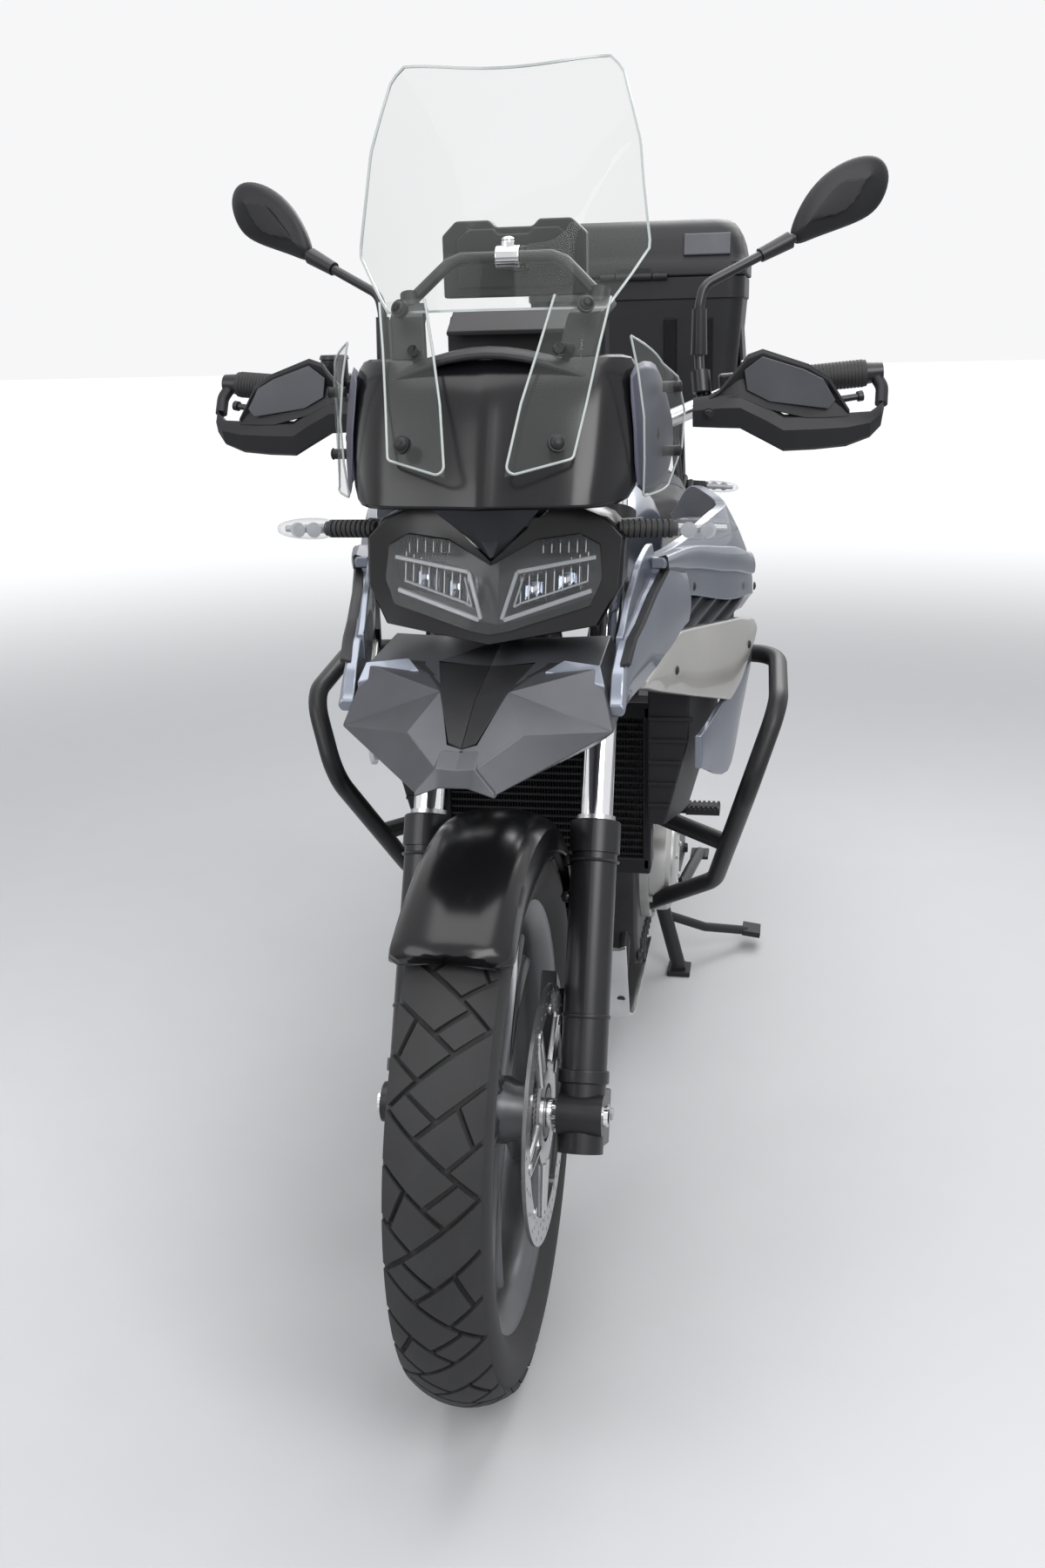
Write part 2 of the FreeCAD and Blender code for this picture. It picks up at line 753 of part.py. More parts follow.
def frame():
    r = size("frame_tube")
    thick = size("plate_thickness")
    middle = PLATE + thick / 2
    low = size("lower_clamp_height") + size("lower_clamp_depth") + 8
    high = size("upper_clamp_height") - 6
    tubes = [rod(fork(low, 0, 0), fork(high, 0, 0), size("head_tube_radius"))]
    for side in (1, -1):
        tubes.append(tube([fork(high - 46, side * 10, -18), at(-480, side * 92, 872), at(-740, side * 132, 745),
                           at(-930, side * 138, 620), at(PIVOT_X - 10, side * middle, PIVOT_Z + 60)], r, 90))
        tubes.append(tube([fork(low + 31, side * 10, -16), at(-430, side * 88, 748), at(-600, side * 146, 748),
                           at(-780, side * 134, 716)], r, 60))
        outer = [at(-950, side * PLATE, 590), at(-1005, side * PLATE, 600), at(-1050, side * PLATE, 440),
                 at(-1030, side * PLATE, 330), at(-1180, side * PLATE, 266), at(-1176, side * PLATE, 226),
                 at(-985, side * PLATE, 240), at(-930, side * PLATE, 320)]
        tubes.append(prism(outer, ACROSS * float(thick * side), 14))
        tubes.append(tube([at(x, side * y, z) for x, y, z in RAIL], size("rail_tube"), 90))
        tubes.append(tube([at(-985, side * 143, 560), at(-1130, side * 124, 640),
                           at(-1440, side * rail_at(-1440)[0], rail_at(-1440)[1])], size("rail_tube"), 90))
        for x, z, inside in ((-925, 340, 118), (-938, 540, 118)):
            tubes.append(rod(at(x, side * inside, z), at(x - 18, side * (PLATE + 4), z), 13))
        tubes.append(rod(at(-640, side * 118, 705), at(-640, side * 144, 744), 12))
    for x in (-1290, -1740):
        tubes.append(rod(at(x, -rail_at(x)[0], rail_at(x)[1]), at(x, rail_at(x)[0], rail_at(x)[1]), 10))
    tubes.append(rod(at(-962, -PLATE, 600), at(-962, PLATE, 600), 12))
    tubes.append(rod(at(PIVOT_X, -PLATE - thick, PIVOT_Z), at(PIVOT_X, PLATE + thick, PIVOT_Z),
                     size("spindle_radius")))
    tubes.append(rod(at(size("stand_x"), -PLATE - thick, size("stand_height")),
                     at(size("stand_x"), PLATE + thick, size("stand_height")), 8))
    tubes.append(box(-935, -885, PLATE, PLATE + thick, 246, 345))
    stem = rod(fork(low - 50, 0, 0), fork(high + 50, 0, 0), size("stem_radius") + GAP)
    pocket = rod(PROP - PROP_PIN * (EYE_HALF + 1), PROP + PROP_PIN * 40.0, EYE_RADIUS + 3)
    boss = rod(PROP - PROP_PIN * 30.0, PROP - PROP_PIN * (EYE_HALF + GAP), EYE_RADIUS - 3)
    pin = rod(PROP - PROP_PIN * 12.0, PROP + PROP_PIN * (EYE_HALF + 3), size("pin_radius"))
    whole = cut(join(tubes), stem, PARTS["engine"].Shape, pocket)
    return join([whole, boss, pin])


def engine():
    side_line = [(-600, 250), (-850, 246), (-850, 575), (-640, 560), (-575, 490), (-570, 320)]
    case = prism([at(x, -118, z) for x, z in side_line], ACROSS * 236.0, 20)
    gearbox = prism([at(x, -118, z) for x, z in ((-840, 260), (-925, 262), (-942, 330), (-942, 470), (-900, 560),
                                                 (-840, 565))], ACROSS * float(118 + size("front_shaft_side")), 14)
    shaft = rod(at(size("front_sprocket_x"), size("front_shaft_side") - 2, size("front_sprocket_z")),
                at(size("front_sprocket_x"), size("chain_line") + size("chain_width") / 2, size("front_sprocket_z")),
                size("front_sprocket_radius") - size("chain_height") / 2 - GAP)
    sump = prism([at(-640, -70, 218), at(-830, -70, 218), at(-845, -70, 255), at(-620, -70, 255)], ACROSS * 140.0)
    block = prism([at(-620, -112, 555), at(-800, -112, 555), at(-775, -112, 645), at(-590, -112, 645)],
                  ACROSS * 224.0, 8)
    head = prism([at(-570, -118, 640), at(-790, -118, 640), at(-800, -118, 690), at(-770, -118, 712),
                  at(-600, -118, 712), at(-565, -118, 690)], ACROSS * 236.0, 10)
    covers = []
    for x, z, side, inner, outer, radius in ((-780, 390, -1, 116, 172, 90), (-690, 400, 1, 116, 162, 84)):
        for far, wide in ((outer, radius), (outer + 7, radius * 0.7), (outer - 30, radius + 12)):
            covers.append(rod(at(x, side * inner, z), at(x, side * far, z), wide))
    pump = rod(at(-640, -116, 286), at(-640, -158, 286), 26)
    ribs = [prism([at(x - 5, -110, 705), at(x + 5, -110, 705), at(x + 3, -110, 722), at(x - 3, -110, 722)], ACROSS * 220.0)
            for x in (-760, -725, -690, -655, -620)]
    return join([case, gearbox, shaft, sump, block, head, pump] + covers + ribs)


def exhaust():
    headers = [tube([at(-560, y, 676), at(-512, y, 650), at(-500, y, 430), at(-560, y, 192), at(-720, y * 0.6, 190),
                     at(-880, -60, 190)], 19, 60) for y in (42, -42)]
    collector = tube([at(-850, -58, 192), at(-950, -92, 192), at(-1015, -186, 205), at(-1100, -200, 330),
                      at(-1200, -205, 428)], 22, 70)
    ends = ((-1210, 432), (-1640, 560))
    can = loft([[at(x, -205 + 52 * math.cos(math.radians(a)), z + 58 * math.sin(math.radians(a)))
                 for a in range(0, 360, 45)] for x, z in ends], 26)
    nose = loft([[at(x, -205 + r * math.cos(math.radians(a)), z + r * math.sin(math.radians(a)))
                  for a in range(0, 360, 45)] for x, z, r in ((-1170, 415, 26), (-1210, 432, 50))], 10)
    tip = tube([at(-1630, -205, 557), at(-1690, -205, 575)], 26)
    bore = tube([at(-1645, -205, 561), at(-1700, -205, 578)], 22)
    hanger = rod(at(-1420, -96, 806), at(-1420, -196, 530), 7)
    return cut(join(headers + [collector, can, nose, tip, hanger]), bore, PARTS["engine"].Shape,
               PARTS["main_frame"].Shape)


def radiator():
    core = box(-472, -428, -150, 150, 470, 722)
    cheeks = [loft([[at(-475, side * 150, 790), at(-475, side * 150, 540), at(-475, side * 200, 560),
                     at(-475, side * 240, 700), at(-475, side * 240, 776)],
                    [at(-352, side * 150, 774), at(-352, side * 150, 571), at(-352, side * 176, 571),
                     at(-352, side * 206, 690), at(-352, side * 208, 760)]]) for side in (1, -1)]
    stays = [rod(at(-460, side * 92, 700), at(-460, side * 92, 752), 7) for side in (1, -1)]
    return cut(join([core] + cheeks + stays), PARTS["main_frame"].Shape)


def skid_plate():
    line = [(-470, 330), (-520, 196), (-600, 160), (-900, 160)]
    inner = [(-900, 166), (-598, 166), (-525, 200), (-476, 332)]
    half = 110.0
    plate = prism([at(x, -half, z) for x, z in line + inner], ACROSS * (2 * half))
    posts = [rod(at(-830, side * 98, 163), at(-830, side * 98, 260), 8) for side in (1, -1)]
    posts += [rod(at(-505, side * 98, 240), at(-590, side * 98, 330), 8) for side in (1, -1)]
    return cut(join([plate] + posts), PARTS["engine"].Shape)


def crash_bar():
    r = size("crash_tube")
    hoop = tube([at(-668, 150, 745), at(-588, 318, 757), at(-400, 322, 730), at(-361, 286, 625), at(-550, 235, 420),
                 at(-640, 122, 340)], r, 60)
    brace = rod(at(-480, 262, 500), at(-575, 122, 520), r)
    return cut(join([hoop, brace]), PARTS["engine"].Shape, PARTS["main_frame"].Shape)


def swingarm():
    pieces = []
    inside = size("arm_inside")
    for side in (1, -1):
        line = [(PIVOT_X + 24, PIVOT_Z + 32), (PIVOT_X + 24, PIVOT_Z - 34), (PIVOT_X - 40, PIVOT_Z - 42),
                (REAR_X - 45, REAR_Z - 26), (REAR_X - 50, REAR_Z + 26), (PIVOT_X - 120, PIVOT_Z + 36)]
        pieces.append(prism([at(x, side * inside, z) for x, z in line], ACROSS * float(size("arm_width") * side), 10))
    pieces.append(box(-1118, -1064, -inside, 84, 372, 424))
    pieces.append(box(-1118, -1064, 80, inside, 376, 412))
    hole = rod(at(REAR_X, -200, REAR_Z), at(REAR_X, 200, REAR_Z), size("axle_radius") + GAP)
    spindle = rod(at(PIVOT_X, -160, PIVOT_Z), at(PIVOT_X, 160, PIVOT_Z), size("spindle_radius") + GAP)
    outside = inside + size("arm_width")
    spool_x = REAR_X + size("spool_ahead")
    spools = [rod(at(spool_x, side * (outside - size("spool_depth")), REAR_Z + 6), at(spool_x, side * (outside + 5),
                  REAR_Z + 6), size("spool_radius")) for side in (1, -1)]
    return cut(join(pieces), hole, spindle, *spools)


def rear_axle():
    """Hollow axle with spacers that fill the gap between the hub and the arms."""
    half = size("arm_inside") + size("arm_width") + 10
    left = [size("chain_line") + 5, size("arm_inside")]
    right = [-size("arm_inside"), -size("rear_hub_width") / 2 - 1]
    solid = [rod(at(REAR_X, -half, REAR_Z), at(REAR_X, half, REAR_Z), size("axle_radius"))]
    solid += [rod(at(REAR_X, low, REAR_Z), at(REAR_X, high, REAR_Z), size("axle_radius") + 5)
              for low, high in (left, right)]
    return cut(join(solid), rod(at(REAR_X, -half - 1, REAR_Z), at(REAR_X, half + 1, REAR_Z), size("axle_bore")))


def rear_shock():
    top = at(-966, 0, 600)
    foot = at(-1086, 0, 424)
    along = (foot - top).normalize()
    start = top + along * 12
    body = [rod(start, start + along * 60, 24), rod(start + along * 55, foot - along * 12, 34),
            rod(foot - along * 20, foot + along * 6, 14)]
    return cut(join(body), PARTS["main_frame"].Shape, PARTS["swingarm"].Shape)


def chain():
    """One closed loop round both sprockets."""
    y0 = size("chain_line") - size("chain_width") / 2
    front = at(size("front_sprocket_x"), y0, size("front_sprocket_z"))
    rear = at(REAR_X, y0, REAR_Z)
    reach = (rear - front).Length
    big = float(size("rear_sprocket_radius"))
    small = float(size("front_sprocket_radius"))
    lean = math.asin((big - small) / reach)
    slope = math.atan2((rear - front).z, (rear - front).x)

    def loop(extra):
        edges = []
        ends = []
        for centre, radius, start, span in ((front, small + extra, math.pi / 2 + lean, math.pi - 2 * lean),
                                            (rear, big + extra, -math.pi / 2 - lean, math.pi + 2 * lean)):
            angles = [slope + start + span * share for share in (0, 0.5, 1)]
            trio = [centre + Vector(radius * math.cos(a), 0, radius * math.sin(a)) for a in angles]
            edges.append(Part.Arc(*trio).toShape())
            ends.append((trio[0], trio[2]))
        edges.insert(1, Part.LineSegment(ends[0][1], ends[1][0]).toShape())
        edges.append(Part.LineSegment(ends[1][1], ends[0][0]).toShape())
        return Part.Face(Part.Wire(edges))

    half = size("chain_height") / 2
    return loop(float(half)).cut(loop(-float(half))).extrude(ACROSS * float(size("chain_width")))


def centre_stand():
    r = size("stand_tube")
    x = size("stand_x")
    z = size("stand_height")
    foot_x = size("stand_foot_x")
    track = size("stand_half_track")
    pieces = []
    for side in (1, -1):
        pieces.append(tube([at(x, side * 106, z), at(x + 10, side * 110, 130), at(foot_x, side * track, 8)], r, 40))
        pieces.append(box(foot_x - 28, foot_x + 26, side * track - 22, side * track + 22, 0, 9))
    pieces.append(rod(at(x, -PLATE + 0.6, z), at(x, PLATE - 0.6, z), 18))
    pieces.append(rod(at(x + 10, -108, 140), at(x + 10, 108, 140), r))
    lever = tube([at(x + 10, 112, 115), at(x - 40, 190, 70), at(-1262, 268, 36)], 9, 30)
    pieces += [lever, box(-1296, -1244, 262, 298, 28, 40)]
    return cut(join(pieces), rod(at(x, -160, z), at(x, 160, z), 8 + GAP))


def side_stand():
    """Folded up along the frame; it swings down and out about its leaning pin."""
    reach = size("prop_length")
    end = PROP + Vector(-reach, 18, -30)
    leg = tube([PROP, PROP + Vector(-0.35 * reach, 8, -6), end], 10, 60)
    foot = prism([end + Vector(-30, -18, -8), end + Vector(22, -18, -8), end + Vector(22, 18, -8),
                  end + Vector(-30, 18, -8)], UP * 7.0, 6)
    eye = rod(PROP - PROP_PIN * EYE_HALF, PROP + PROP_PIN * EYE_HALF, EYE_RADIUS)
    bore = rod(PROP - PROP_PIN * 40.0, PROP + PROP_PIN * 40.0, size("pin_radius") + GAP)
    clear = rod(PROP - PROP_PIN * 40.0, PROP - PROP_PIN * EYE_HALF, EYE_RADIUS + 8)
    return cut(join([leg, foot, eye]), bore, clear)


add("engine", engine())
add("main_frame", frame())
add("exhaust", exhaust())
add("radiator", radiator())
add("skid_plate", skid_plate())
add("crash_bars", both_sides(crash_bar()))
add("swingarm", swingarm())
add("rear_axle", rear_axle())
add("rear_shock", rear_shock())
add("drive_chain", chain())
add("centre_stand", centre_stand())
add("side_stand", side_stand())

# Bodywork


FILLER_X = -640.0
FILLER_TOP = 1026.0
FILLER_HINGE = (-596.0, 1031.0)


def filler_barrel(half, radius):
    """A length of the filler cap's hinge, across the front of the cap."""
    x, z = FILLER_HINGE
    return rod(at(x, -half, z), at(x, half, z), radius)


def tank():
    rows = ((-474, 898, 925, 958, 70), (-560, 854, 910, 1005, 128), (-700, 792, 890, 1018, 150),
            (-820, 760, 860, 965, 128), (-884, 760, 830, 880, 92))
    sections = []
    for x, low, middle, high, half in rows:
        sections.append(station(x, [(0, low), (half * 0.9, low), (half, middle), (half * 0.72, high - 16), (0, high)]))
    filler = rod(at(FILLER_X, 0, 990), at(FILLER_X, 0, FILLER_TOP), 50)
    ears = [box(FILLER_HINGE[0] - 4, FILLER_HINGE[0] + 4, *sorted((side * 9, side * 15)), FILLER_TOP - 4,
                FILLER_HINGE[1] + 3) for side in (1, -1)]
    pin = filler_barrel(15, 2)
    return join([loft(sections), filler, pin] + ears)


# Shroud: (x, y) of its plan, then each panel's (x, low edge, high edge, how far the high edge leans in).
PLAN = ((-20, 150), (-60, 156), (-165, 172), (-300, 206), (-450, 262), (-560, 284), (-700, 258), (-860, 206))
UPPER = ((-190, 938, 958, 4), (-300, 894, 960, 8), (-450, 862, 984, 18), (-560, 850, 982, 44), (-700, 800, 986, 60),
         (-860, 760, 925, 54))
ARM = ((-188, 944, 958, 0), (-290, 928, 956, 0), (-417, 905, 938, 2), (-520, 885, 915, 4))
BAND = ((-60, 838, 868, 2), (-100, 824, 895, 3), (-165, 830, 925, 4), (-204, 840, 942, 4), (-289, 862, 926, 4))
LOWER = ((-125, 816, 829, 0), (-228, 786, 850, 2), (-278, 772, 854, 2), (-430, 728, 838, 4), (-474, 745, 833, 4),
         (-560, 790, 815, 2))
INNER = ((-60, 860, 872, 0), (-110, 866, 925, 2), (-165, 878, 960, 4), (-205, 900, 972, 6))
GRILLE_BACK = ((-225, 838, 862, 0), (-360, 832, 896, 0), (-480, 824, 874, 0))
FIN = ((-345, 655, 700, 0), (-434, 625, 734, 0), (-500, 700, 762, 0), (-545, 745, 795, 0))
SLATS = 4
SLAT_PITCH = 50.0
SLAT_REACH = 84.0


def plan_y(x):
    for (x0, y0), (x1, y1) in zip(PLAN, PLAN[1:]):
        if x >= x1:
            break
    return y0 + (y1 - y0) * (x - x0) / (x1 - x0)


def plan_panel(rows, proud, thick):
    """A panel along the shroud's plan, standing proud of it."""
    sections = []
    for x, low, high, lean in rows:
        y = plan_y(x) + proud
        sections.append([at(x, y, low), at(x, y - lean, high), at(x, y - lean - thick, high), at(x, y - thick, low)])
    return loft(sections)


def slat(index):
    """One blade of the louvre: it rises to the rear and leans out of its recess."""
    x0 = -262 - index * SLAT_PITCH
    z0 = 850 - index * 5
    sections = []
    for x, z in ((x0, z0), (x0 - SLAT_REACH, z0 + 34 - index * 4)):
        y = plan_y(x)
        sections.append([at(x, y - 13, z), at(x - 9, y + 1, z), at(x - 9, y + 1, z + 4), at(x, y - 13, z + 4)])
    return loft(sections)


def side_fairing():
    panels = [plan_panel(rows, proud, thick) for rows, proud, thick in
              ((UPPER, 0, 14), (ARM, 8, 14), (BAND, 6, 14), (LOWER, 4, 16), (INNER, -5, 8), (GRILLE_BACK, -10, 6),
               (FIN, 0, 8))]
    slats = [slat(index) for index in range(SLATS)]
    clips = [rod(at(x, inside, z), at(x, outside, z), 6) for x, inside, outside, z in
             ((-490, 92, 258, 872), (-640, 120, 256, 848), (-800, 112, 205, 840))]
    return cut(join(panels + slats + clips), PARTS["main_frame"].Shape, PARTS["fuel_tank"].Shape)


# Beak: the corners of its left half, and its faces.
BEAK = {
    "top": (-70, 0, 852), "inset_top": (-52, 55, 862), "outer_top": (-21, 130, 864), "tip_side": (20, 150, 804),
    "prong": (136, 40, 765), "notch": (128, 20, 790), "middle": (96, 0, 801), "ridge": (78, 62, 814),
    "inset_low": (92, 16, 806), "inset_side": (22, 40, 846), "back_top": (-150, 128, 874),
    "back_side": (-150, 152, 824), "back_low": (-150, 130, 794), "side_low": (-20, 130, 780),
    "prong_low": (118, 36, 760), "middle_low": (60, 0, 776), "back_mid": (-150, 0, 796), "back_high": (-150, 0, 868),
}
BEAK_FACES = (
    ("inset_top", "outer_top", "tip_side", "ridge", "inset_side"), ("inset_side", "ridge", "notch", "inset_low"),
    ("ridge", "tip_side", "prong"), ("ridge", "prong", "notch"), ("outer_top", "back_top", "back_side", "tip_side"),
    ("tip_side", "back_side", "back_low", "side_low"), ("tip_side", "side_low", "prong_low", "prong"),
    ("prong", "prong_low", "notch"), ("side_low", "back_low", "back_mid", "middle_low"),
    ("side_low", "middle_low", "prong_low"), ("prong_low", "middle_low", "notch"), ("notch", "middle_low", "middle"),
    ("notch", "middle", "inset_low"), ("inset_top", "back_top", "outer_top"), ("inset_top", "back_high", "back_top"),
    ("inset_top", "top", "back_high"), ("back_high", "back_mid", "back_low", "back_side", "back_top"),
    ("top", "inset_top", "inset_side", "inset_low", "middle"), ("top", "middle", "middle_low", "back_mid", "back_high"),
)


def beak():
    """Two-pointed beak with a flat-faced crease on each side and a dished middle."""
    faces = []
    for names in BEAK_FACES:
        first, *others = [at(*BEAK[name]) for name in names]
        faces += [facet(first, a, b) for a, b in zip(others, others[1:])]
    half = Part.Solid(Part.Shell(faces))
    half.fix(FLAT, FLAT, FLAT)
    if half.Volume < 0:
        half.reverse()
    return join([half, mirrored(half)]).removeSplitter()


LAMP = ((0, 878), (122, 898), (146, 940), (149, 994), (130, 1014), (100, 1027), (68, 1027), (0, 968))
LENS = ((0, 892), (112, 938), (115, 975), (85, 988), (0, 961))


def lamp_x(y, z):
    """The lamp's front: two flat halves, swept back from the middle and leaning."""
    return -58 - 0.32 * (z - 875) - 0.10 * y


def lamp_half(half, near, far, shrink=1.0):
    front = [at(lamp_x(y, z) + near, y, z) for y, z in half]
    rear = [at(far, y * shrink, 950 + (z - 950) * shrink) for y, z in half]
    side = loft([front, rear])
    return join([side, mirrored(side)])


# Lamp modules behind the lens: middle y, middle z, width, height.
MODULES = ((34, 938, 34, 26), (76, 954, 34, 22))


def headlamp():
    """Housing with a deep recess, and two stepped reflector modules on each side of it."""
    shell = cut(lamp_half(LAMP, 0, -172, 0.9), lamp_half(LENS, 12, -150, 0.8))
    modules = []
    for y, z, wide, high in MODULES:
        for side in (1, -1):
            ends = []
            for x, grow in ((-156, 0.8), (-118, 1.0)):
                ends.append([at(x, side * (y + dy * wide * grow / 2), z + dz * high * grow / 2)
                             for dy, dz in ((-1, -1), (1, -1), (1, 1), (-1, 1))])
            cup = [[at(x, side * (y + dy * wide * grow / 2), z + dz * high * grow / 2)
                    for dy, dz in ((-1, -1), (1, -1), (1, 1), (-1, 1))] for x, grow in ((-146, 0.3), (-117, 0.84))]
            modules.append(cut(loft(ends), loft(cup)))
    return join([shell] + modules)


def lens():
    front = [at(lamp_x(y, z) - 2, y, z) for y, z in LENS]
    rear = [at(lamp_x(y, z) - 8, y, z) for y, z in LENS]
    side = loft([front, rear])
    return cut(join([side, mirrored(side)]), PARTS["headlamp_housing"].Shape)


def cowl():
    """The hood over the lamp: a curved shell, open to the rear."""
    rows = ((1032, -34, -52, 138, -150, 178, -262, 190), (1100, -62, -80, 146, -160, 188, -272, 196),
            (1165, -92, -112, 146, -168, 172, -248, 176), (1190, -112, -126, 140, -176, 160, -236, 164))
    sections = []
    for z, nose, front, front_y, side, side_y, back, back_y in rows:
        outer = [(nose, 0), (front, front_y), (side, side_y), (back, back_y)]
        inner = [(nose - 6, 0), (front - 6, front_y - 5), (side - 2, side_y - 6), (back, back_y - 5)]
        loop = [at(x, y, z) for x, y in outer] + [at(x, y, z) for x, y in reversed(inner)]
        loop += [at(x, -y, z) for x, y in inner[1:]] + [at(x, -y, z) for x, y in reversed(outer[1:])]
        sections.append(loop)
    return loft(sections)


def windscreen():
    rows = ((1236, -112, -118, 76, -170, 140), (1300, -128, -140, 78, -212, 167), (1410, -186, -196, 72, -232, 154),
            (1488, -236, -244, 60, -272, 132), (1503, -246, -250, 56, -262, 116))
    sections = []
    for z, centre, fold, fold_y, edge, edge_y in rows:
        front = [at(edge, edge_y, z), at(fold, fold_y, z), at(centre, 0, z), at(fold, -fold_y, z), at(edge, -edge_y, z)]
        back = [p - AHEAD * 5.0 for p in reversed(front)]
        sections.append(front + back)
    panel = loft(sections)
    legs = [loft([[at(-112, side * 72, 1238), at(-114, side * 16, 1238), at(-119, side * 16, 1238),
                   at(-117, side * 72, 1238)],
                  [at(-24, side * 100, 1076), at(-10, side * 34, 1076), at(-15, side * 34, 1076),
                   at(-29, side * 100, 1076)]]) for side in (1, -1)]
    return join([panel] + legs)


def deflector():
    line = [(-145, 1200), (-112, 1120), (-122, 1042), (-205, 1040), (-225, 1130), (-205, 1190)]
    blade = prism([at(x, 200, z) for x, z in line], ACROSS * 4.0, 12)
    studs = [rod(at(-185, 182, z), at(-185, 201, z), 6) for z in (1080, 1150)]
    return cut(join([blade] + studs), PARTS["front_cowl"].Shape)


def screen_mount():
    """Stay from the head tube that carries the lamp, the screen, the instruments and the display's hoop."""
    beam = prism([fork(560, -14, 20), fork(640, -14, 20), fork(610, -14, 178), fork(570, -14, 182)], ACROSS * 28.0)
    pieces = [beam]
    for side in (1, -1):
        pieces.append(tube([fork(590, side * 8, 172), at(-196, side * 60, 1010), at(-190, side * 96, 1120),
                            at(-212, side * 111, 1247)], 7, 40))
        pieces.append(rod(at(-196, side * 92, 1100), at(-160, side * 185, 1100), 6))
        pieces.append(rod(at(-200, side * 100, 1170), at(-353, side * 84, 1178), 6))
        pieces.append(rod(at(-200, side * 98, 1190), at(-93, side * 80, 1196), 6))
        pieces.append(rod(at(-160, side * 125, 1000), at(-176, side * 162, 1000), 6))
        pieces.append(tube([fork(575, side * 8, 170), at(-176, side * 34, 850), at(-149, side * 34, 836)], 6, 20))
    pieces.append(tube([at(-212, -111, 1247), at(-235, -62, 1294), at(-235, 62, 1294), at(-212, 111, 1247)], 7, 40))
    pieces.append(rod(at(-196, -60, 1010), at(-196, 60, 1010), 7))
    others = ("main_frame", "headlamp_housing", "front_cowl", "windscreen", "instrument_panel", "beak")
    return cut(join(pieces), *[PARTS[name].Shape for name in others])


def instrument():
    line = [(-352, 1150), (-352, 1212), (-372, 1232), (-402, 1226), (-396, 1147)]
    return prism([at(x, -100, z) for x, z in line], ACROSS * 200.0, 8)


def display():
    case = prism([at(-312, y, z) for y, z in ((-87, 1252), (-87, 1322), (-70, 1338), (-30, 1338), (-22, 1330),
                                              (22, 1330), (30, 1338), (68, 1338), (85, 1322), (85, 1252))],
                 AHEAD * 26.0, 4)
    clamp = rod(at(-235, -8, 1294), at(-235, 12, 1294), 13)
    arm = box(-290, -240, -6, 10, 1286, 1302)
    return cut(join([case, arm, clamp]), PARTS["screen_mount"].Shape)


def indicator(x, y, z, reach, ahead):
    """Stalk and lamp head; it points outwards and a little back."""
    tip = at(x - 30 * ahead, y + reach, z - 4)
    stalk = rod(at(x, y, z), tip, 9)
    head = turned(Part.makeBox(34, 50, 26, tip + Vector(-17, -30, -13)), tip, UP, 8 * ahead)
    return cut(join([stalk, head]), PARTS["headlamp_housing"].Shape, PARTS["main_frame"].Shape,
               PARTS["plate_holder"].Shape, PARTS["tail_fairings"].Shape)


def seat(rows):
    """A pad on the rails, from its height and half width at each station."""
    sections = []
    for x, top, half in rows:
        low = rail_top(x) + GAP
        sections.append(station(x, [(0, low), (half - 12, low), (half, top - 22), (half - 26, top), (0, top + 4)]))
    return loft(sections)


def tail():
    sections = []
    for x, depth in ((-960, 40), (-1300, 62), (-1560, 60), (-1730, 40)):
        rail_y, rail_z = rail_at(x)
        inside = rail_y + size("rail_tube") + 2
        high = rail_top(x) - 3
        middle = high - depth * 0.5
        sections.append([at(x, inside, high - depth), at(x, inside + 8, high - depth), at(x, inside + 16, middle),
                         at(x, inside + 9, high), at(x, inside, high)])
    clips = [rod(at(x, rail_at(x)[0], rail_at(x)[1]), at(x, rail_at(x)[0] + 18, rail_at(x)[1]), 5)
             for x in (-1060, -1640)]
    return cut(join([loft(sections)] + clips), PARTS["main_frame"].Shape)


def rack():
    high = size("case_floor") - GAP
    low = high - 14
    half = [(-1650, 70), (-1690, 120), (-2000, 120), (-2030, 90)]
    loop = [at(x, y, low) for x, y in half] + [at(x, -y, low) for x, y in reversed(half)]
    legs = [tube([at(x, side * 86, low + 4), at(x, side * 86, low - 40), at(foot, side * 98, rail_at(foot)[1])], 9, 24)
            for side in (1, -1) for x, foot in ((-1700, -1680), (-1860, -1745))]
    return cut(join([prism(loop, UP * 14.0, 18)] + legs), PARTS["main_frame"].Shape)


def knuckle(y0, y1, radius):
    """A length of the case hinge's barrel."""
    axis = at(size("case_front") + LIP, 0, size("case_seam") + GAP)
    return rod(axis + ACROSS * float(y0), axis + ACROSS * float(y1), radius)


LIP = 4.0
BARREL = 8.0
HINGE_INNER = 38.0
HINGE_OUTER = 70.0


def case_base():
    h = size("case_half_width")
    w = size("case_wall")
    floor = size("case_floor")
    seam = size("case_seam")
    x0, x1 = size("case_rear"), size("case_front")

    def section(z, inset):
        lean = 22 * (seam - z) / (seam - floor)
        inset = inset + lean
        return [at(x1 - inset, h - inset, z), at(x0 + inset, h - inset, z), at(x0 + inset, -h + inset, z),
                at(x1 - inset, -h + inset, z)]

    shell = loft([section(floor, 0), section(seam, 0)], 36)
    hollow = loft([section(floor + w, w), section(seam + 1, w)], 32)
    wall = cut(shell, hollow, knuckle(-HINGE_INNER, HINGE_INNER, BARREL + GAP))
    pin = knuckle(-HINGE_OUTER, HINGE_OUTER, size("hinge_radius"))
    ends = [knuckle(*sorted((side * HINGE_INNER, side * HINGE_OUTER)), BARREL) for side in (1, -1)]
    return join([wall, pin] + ends)


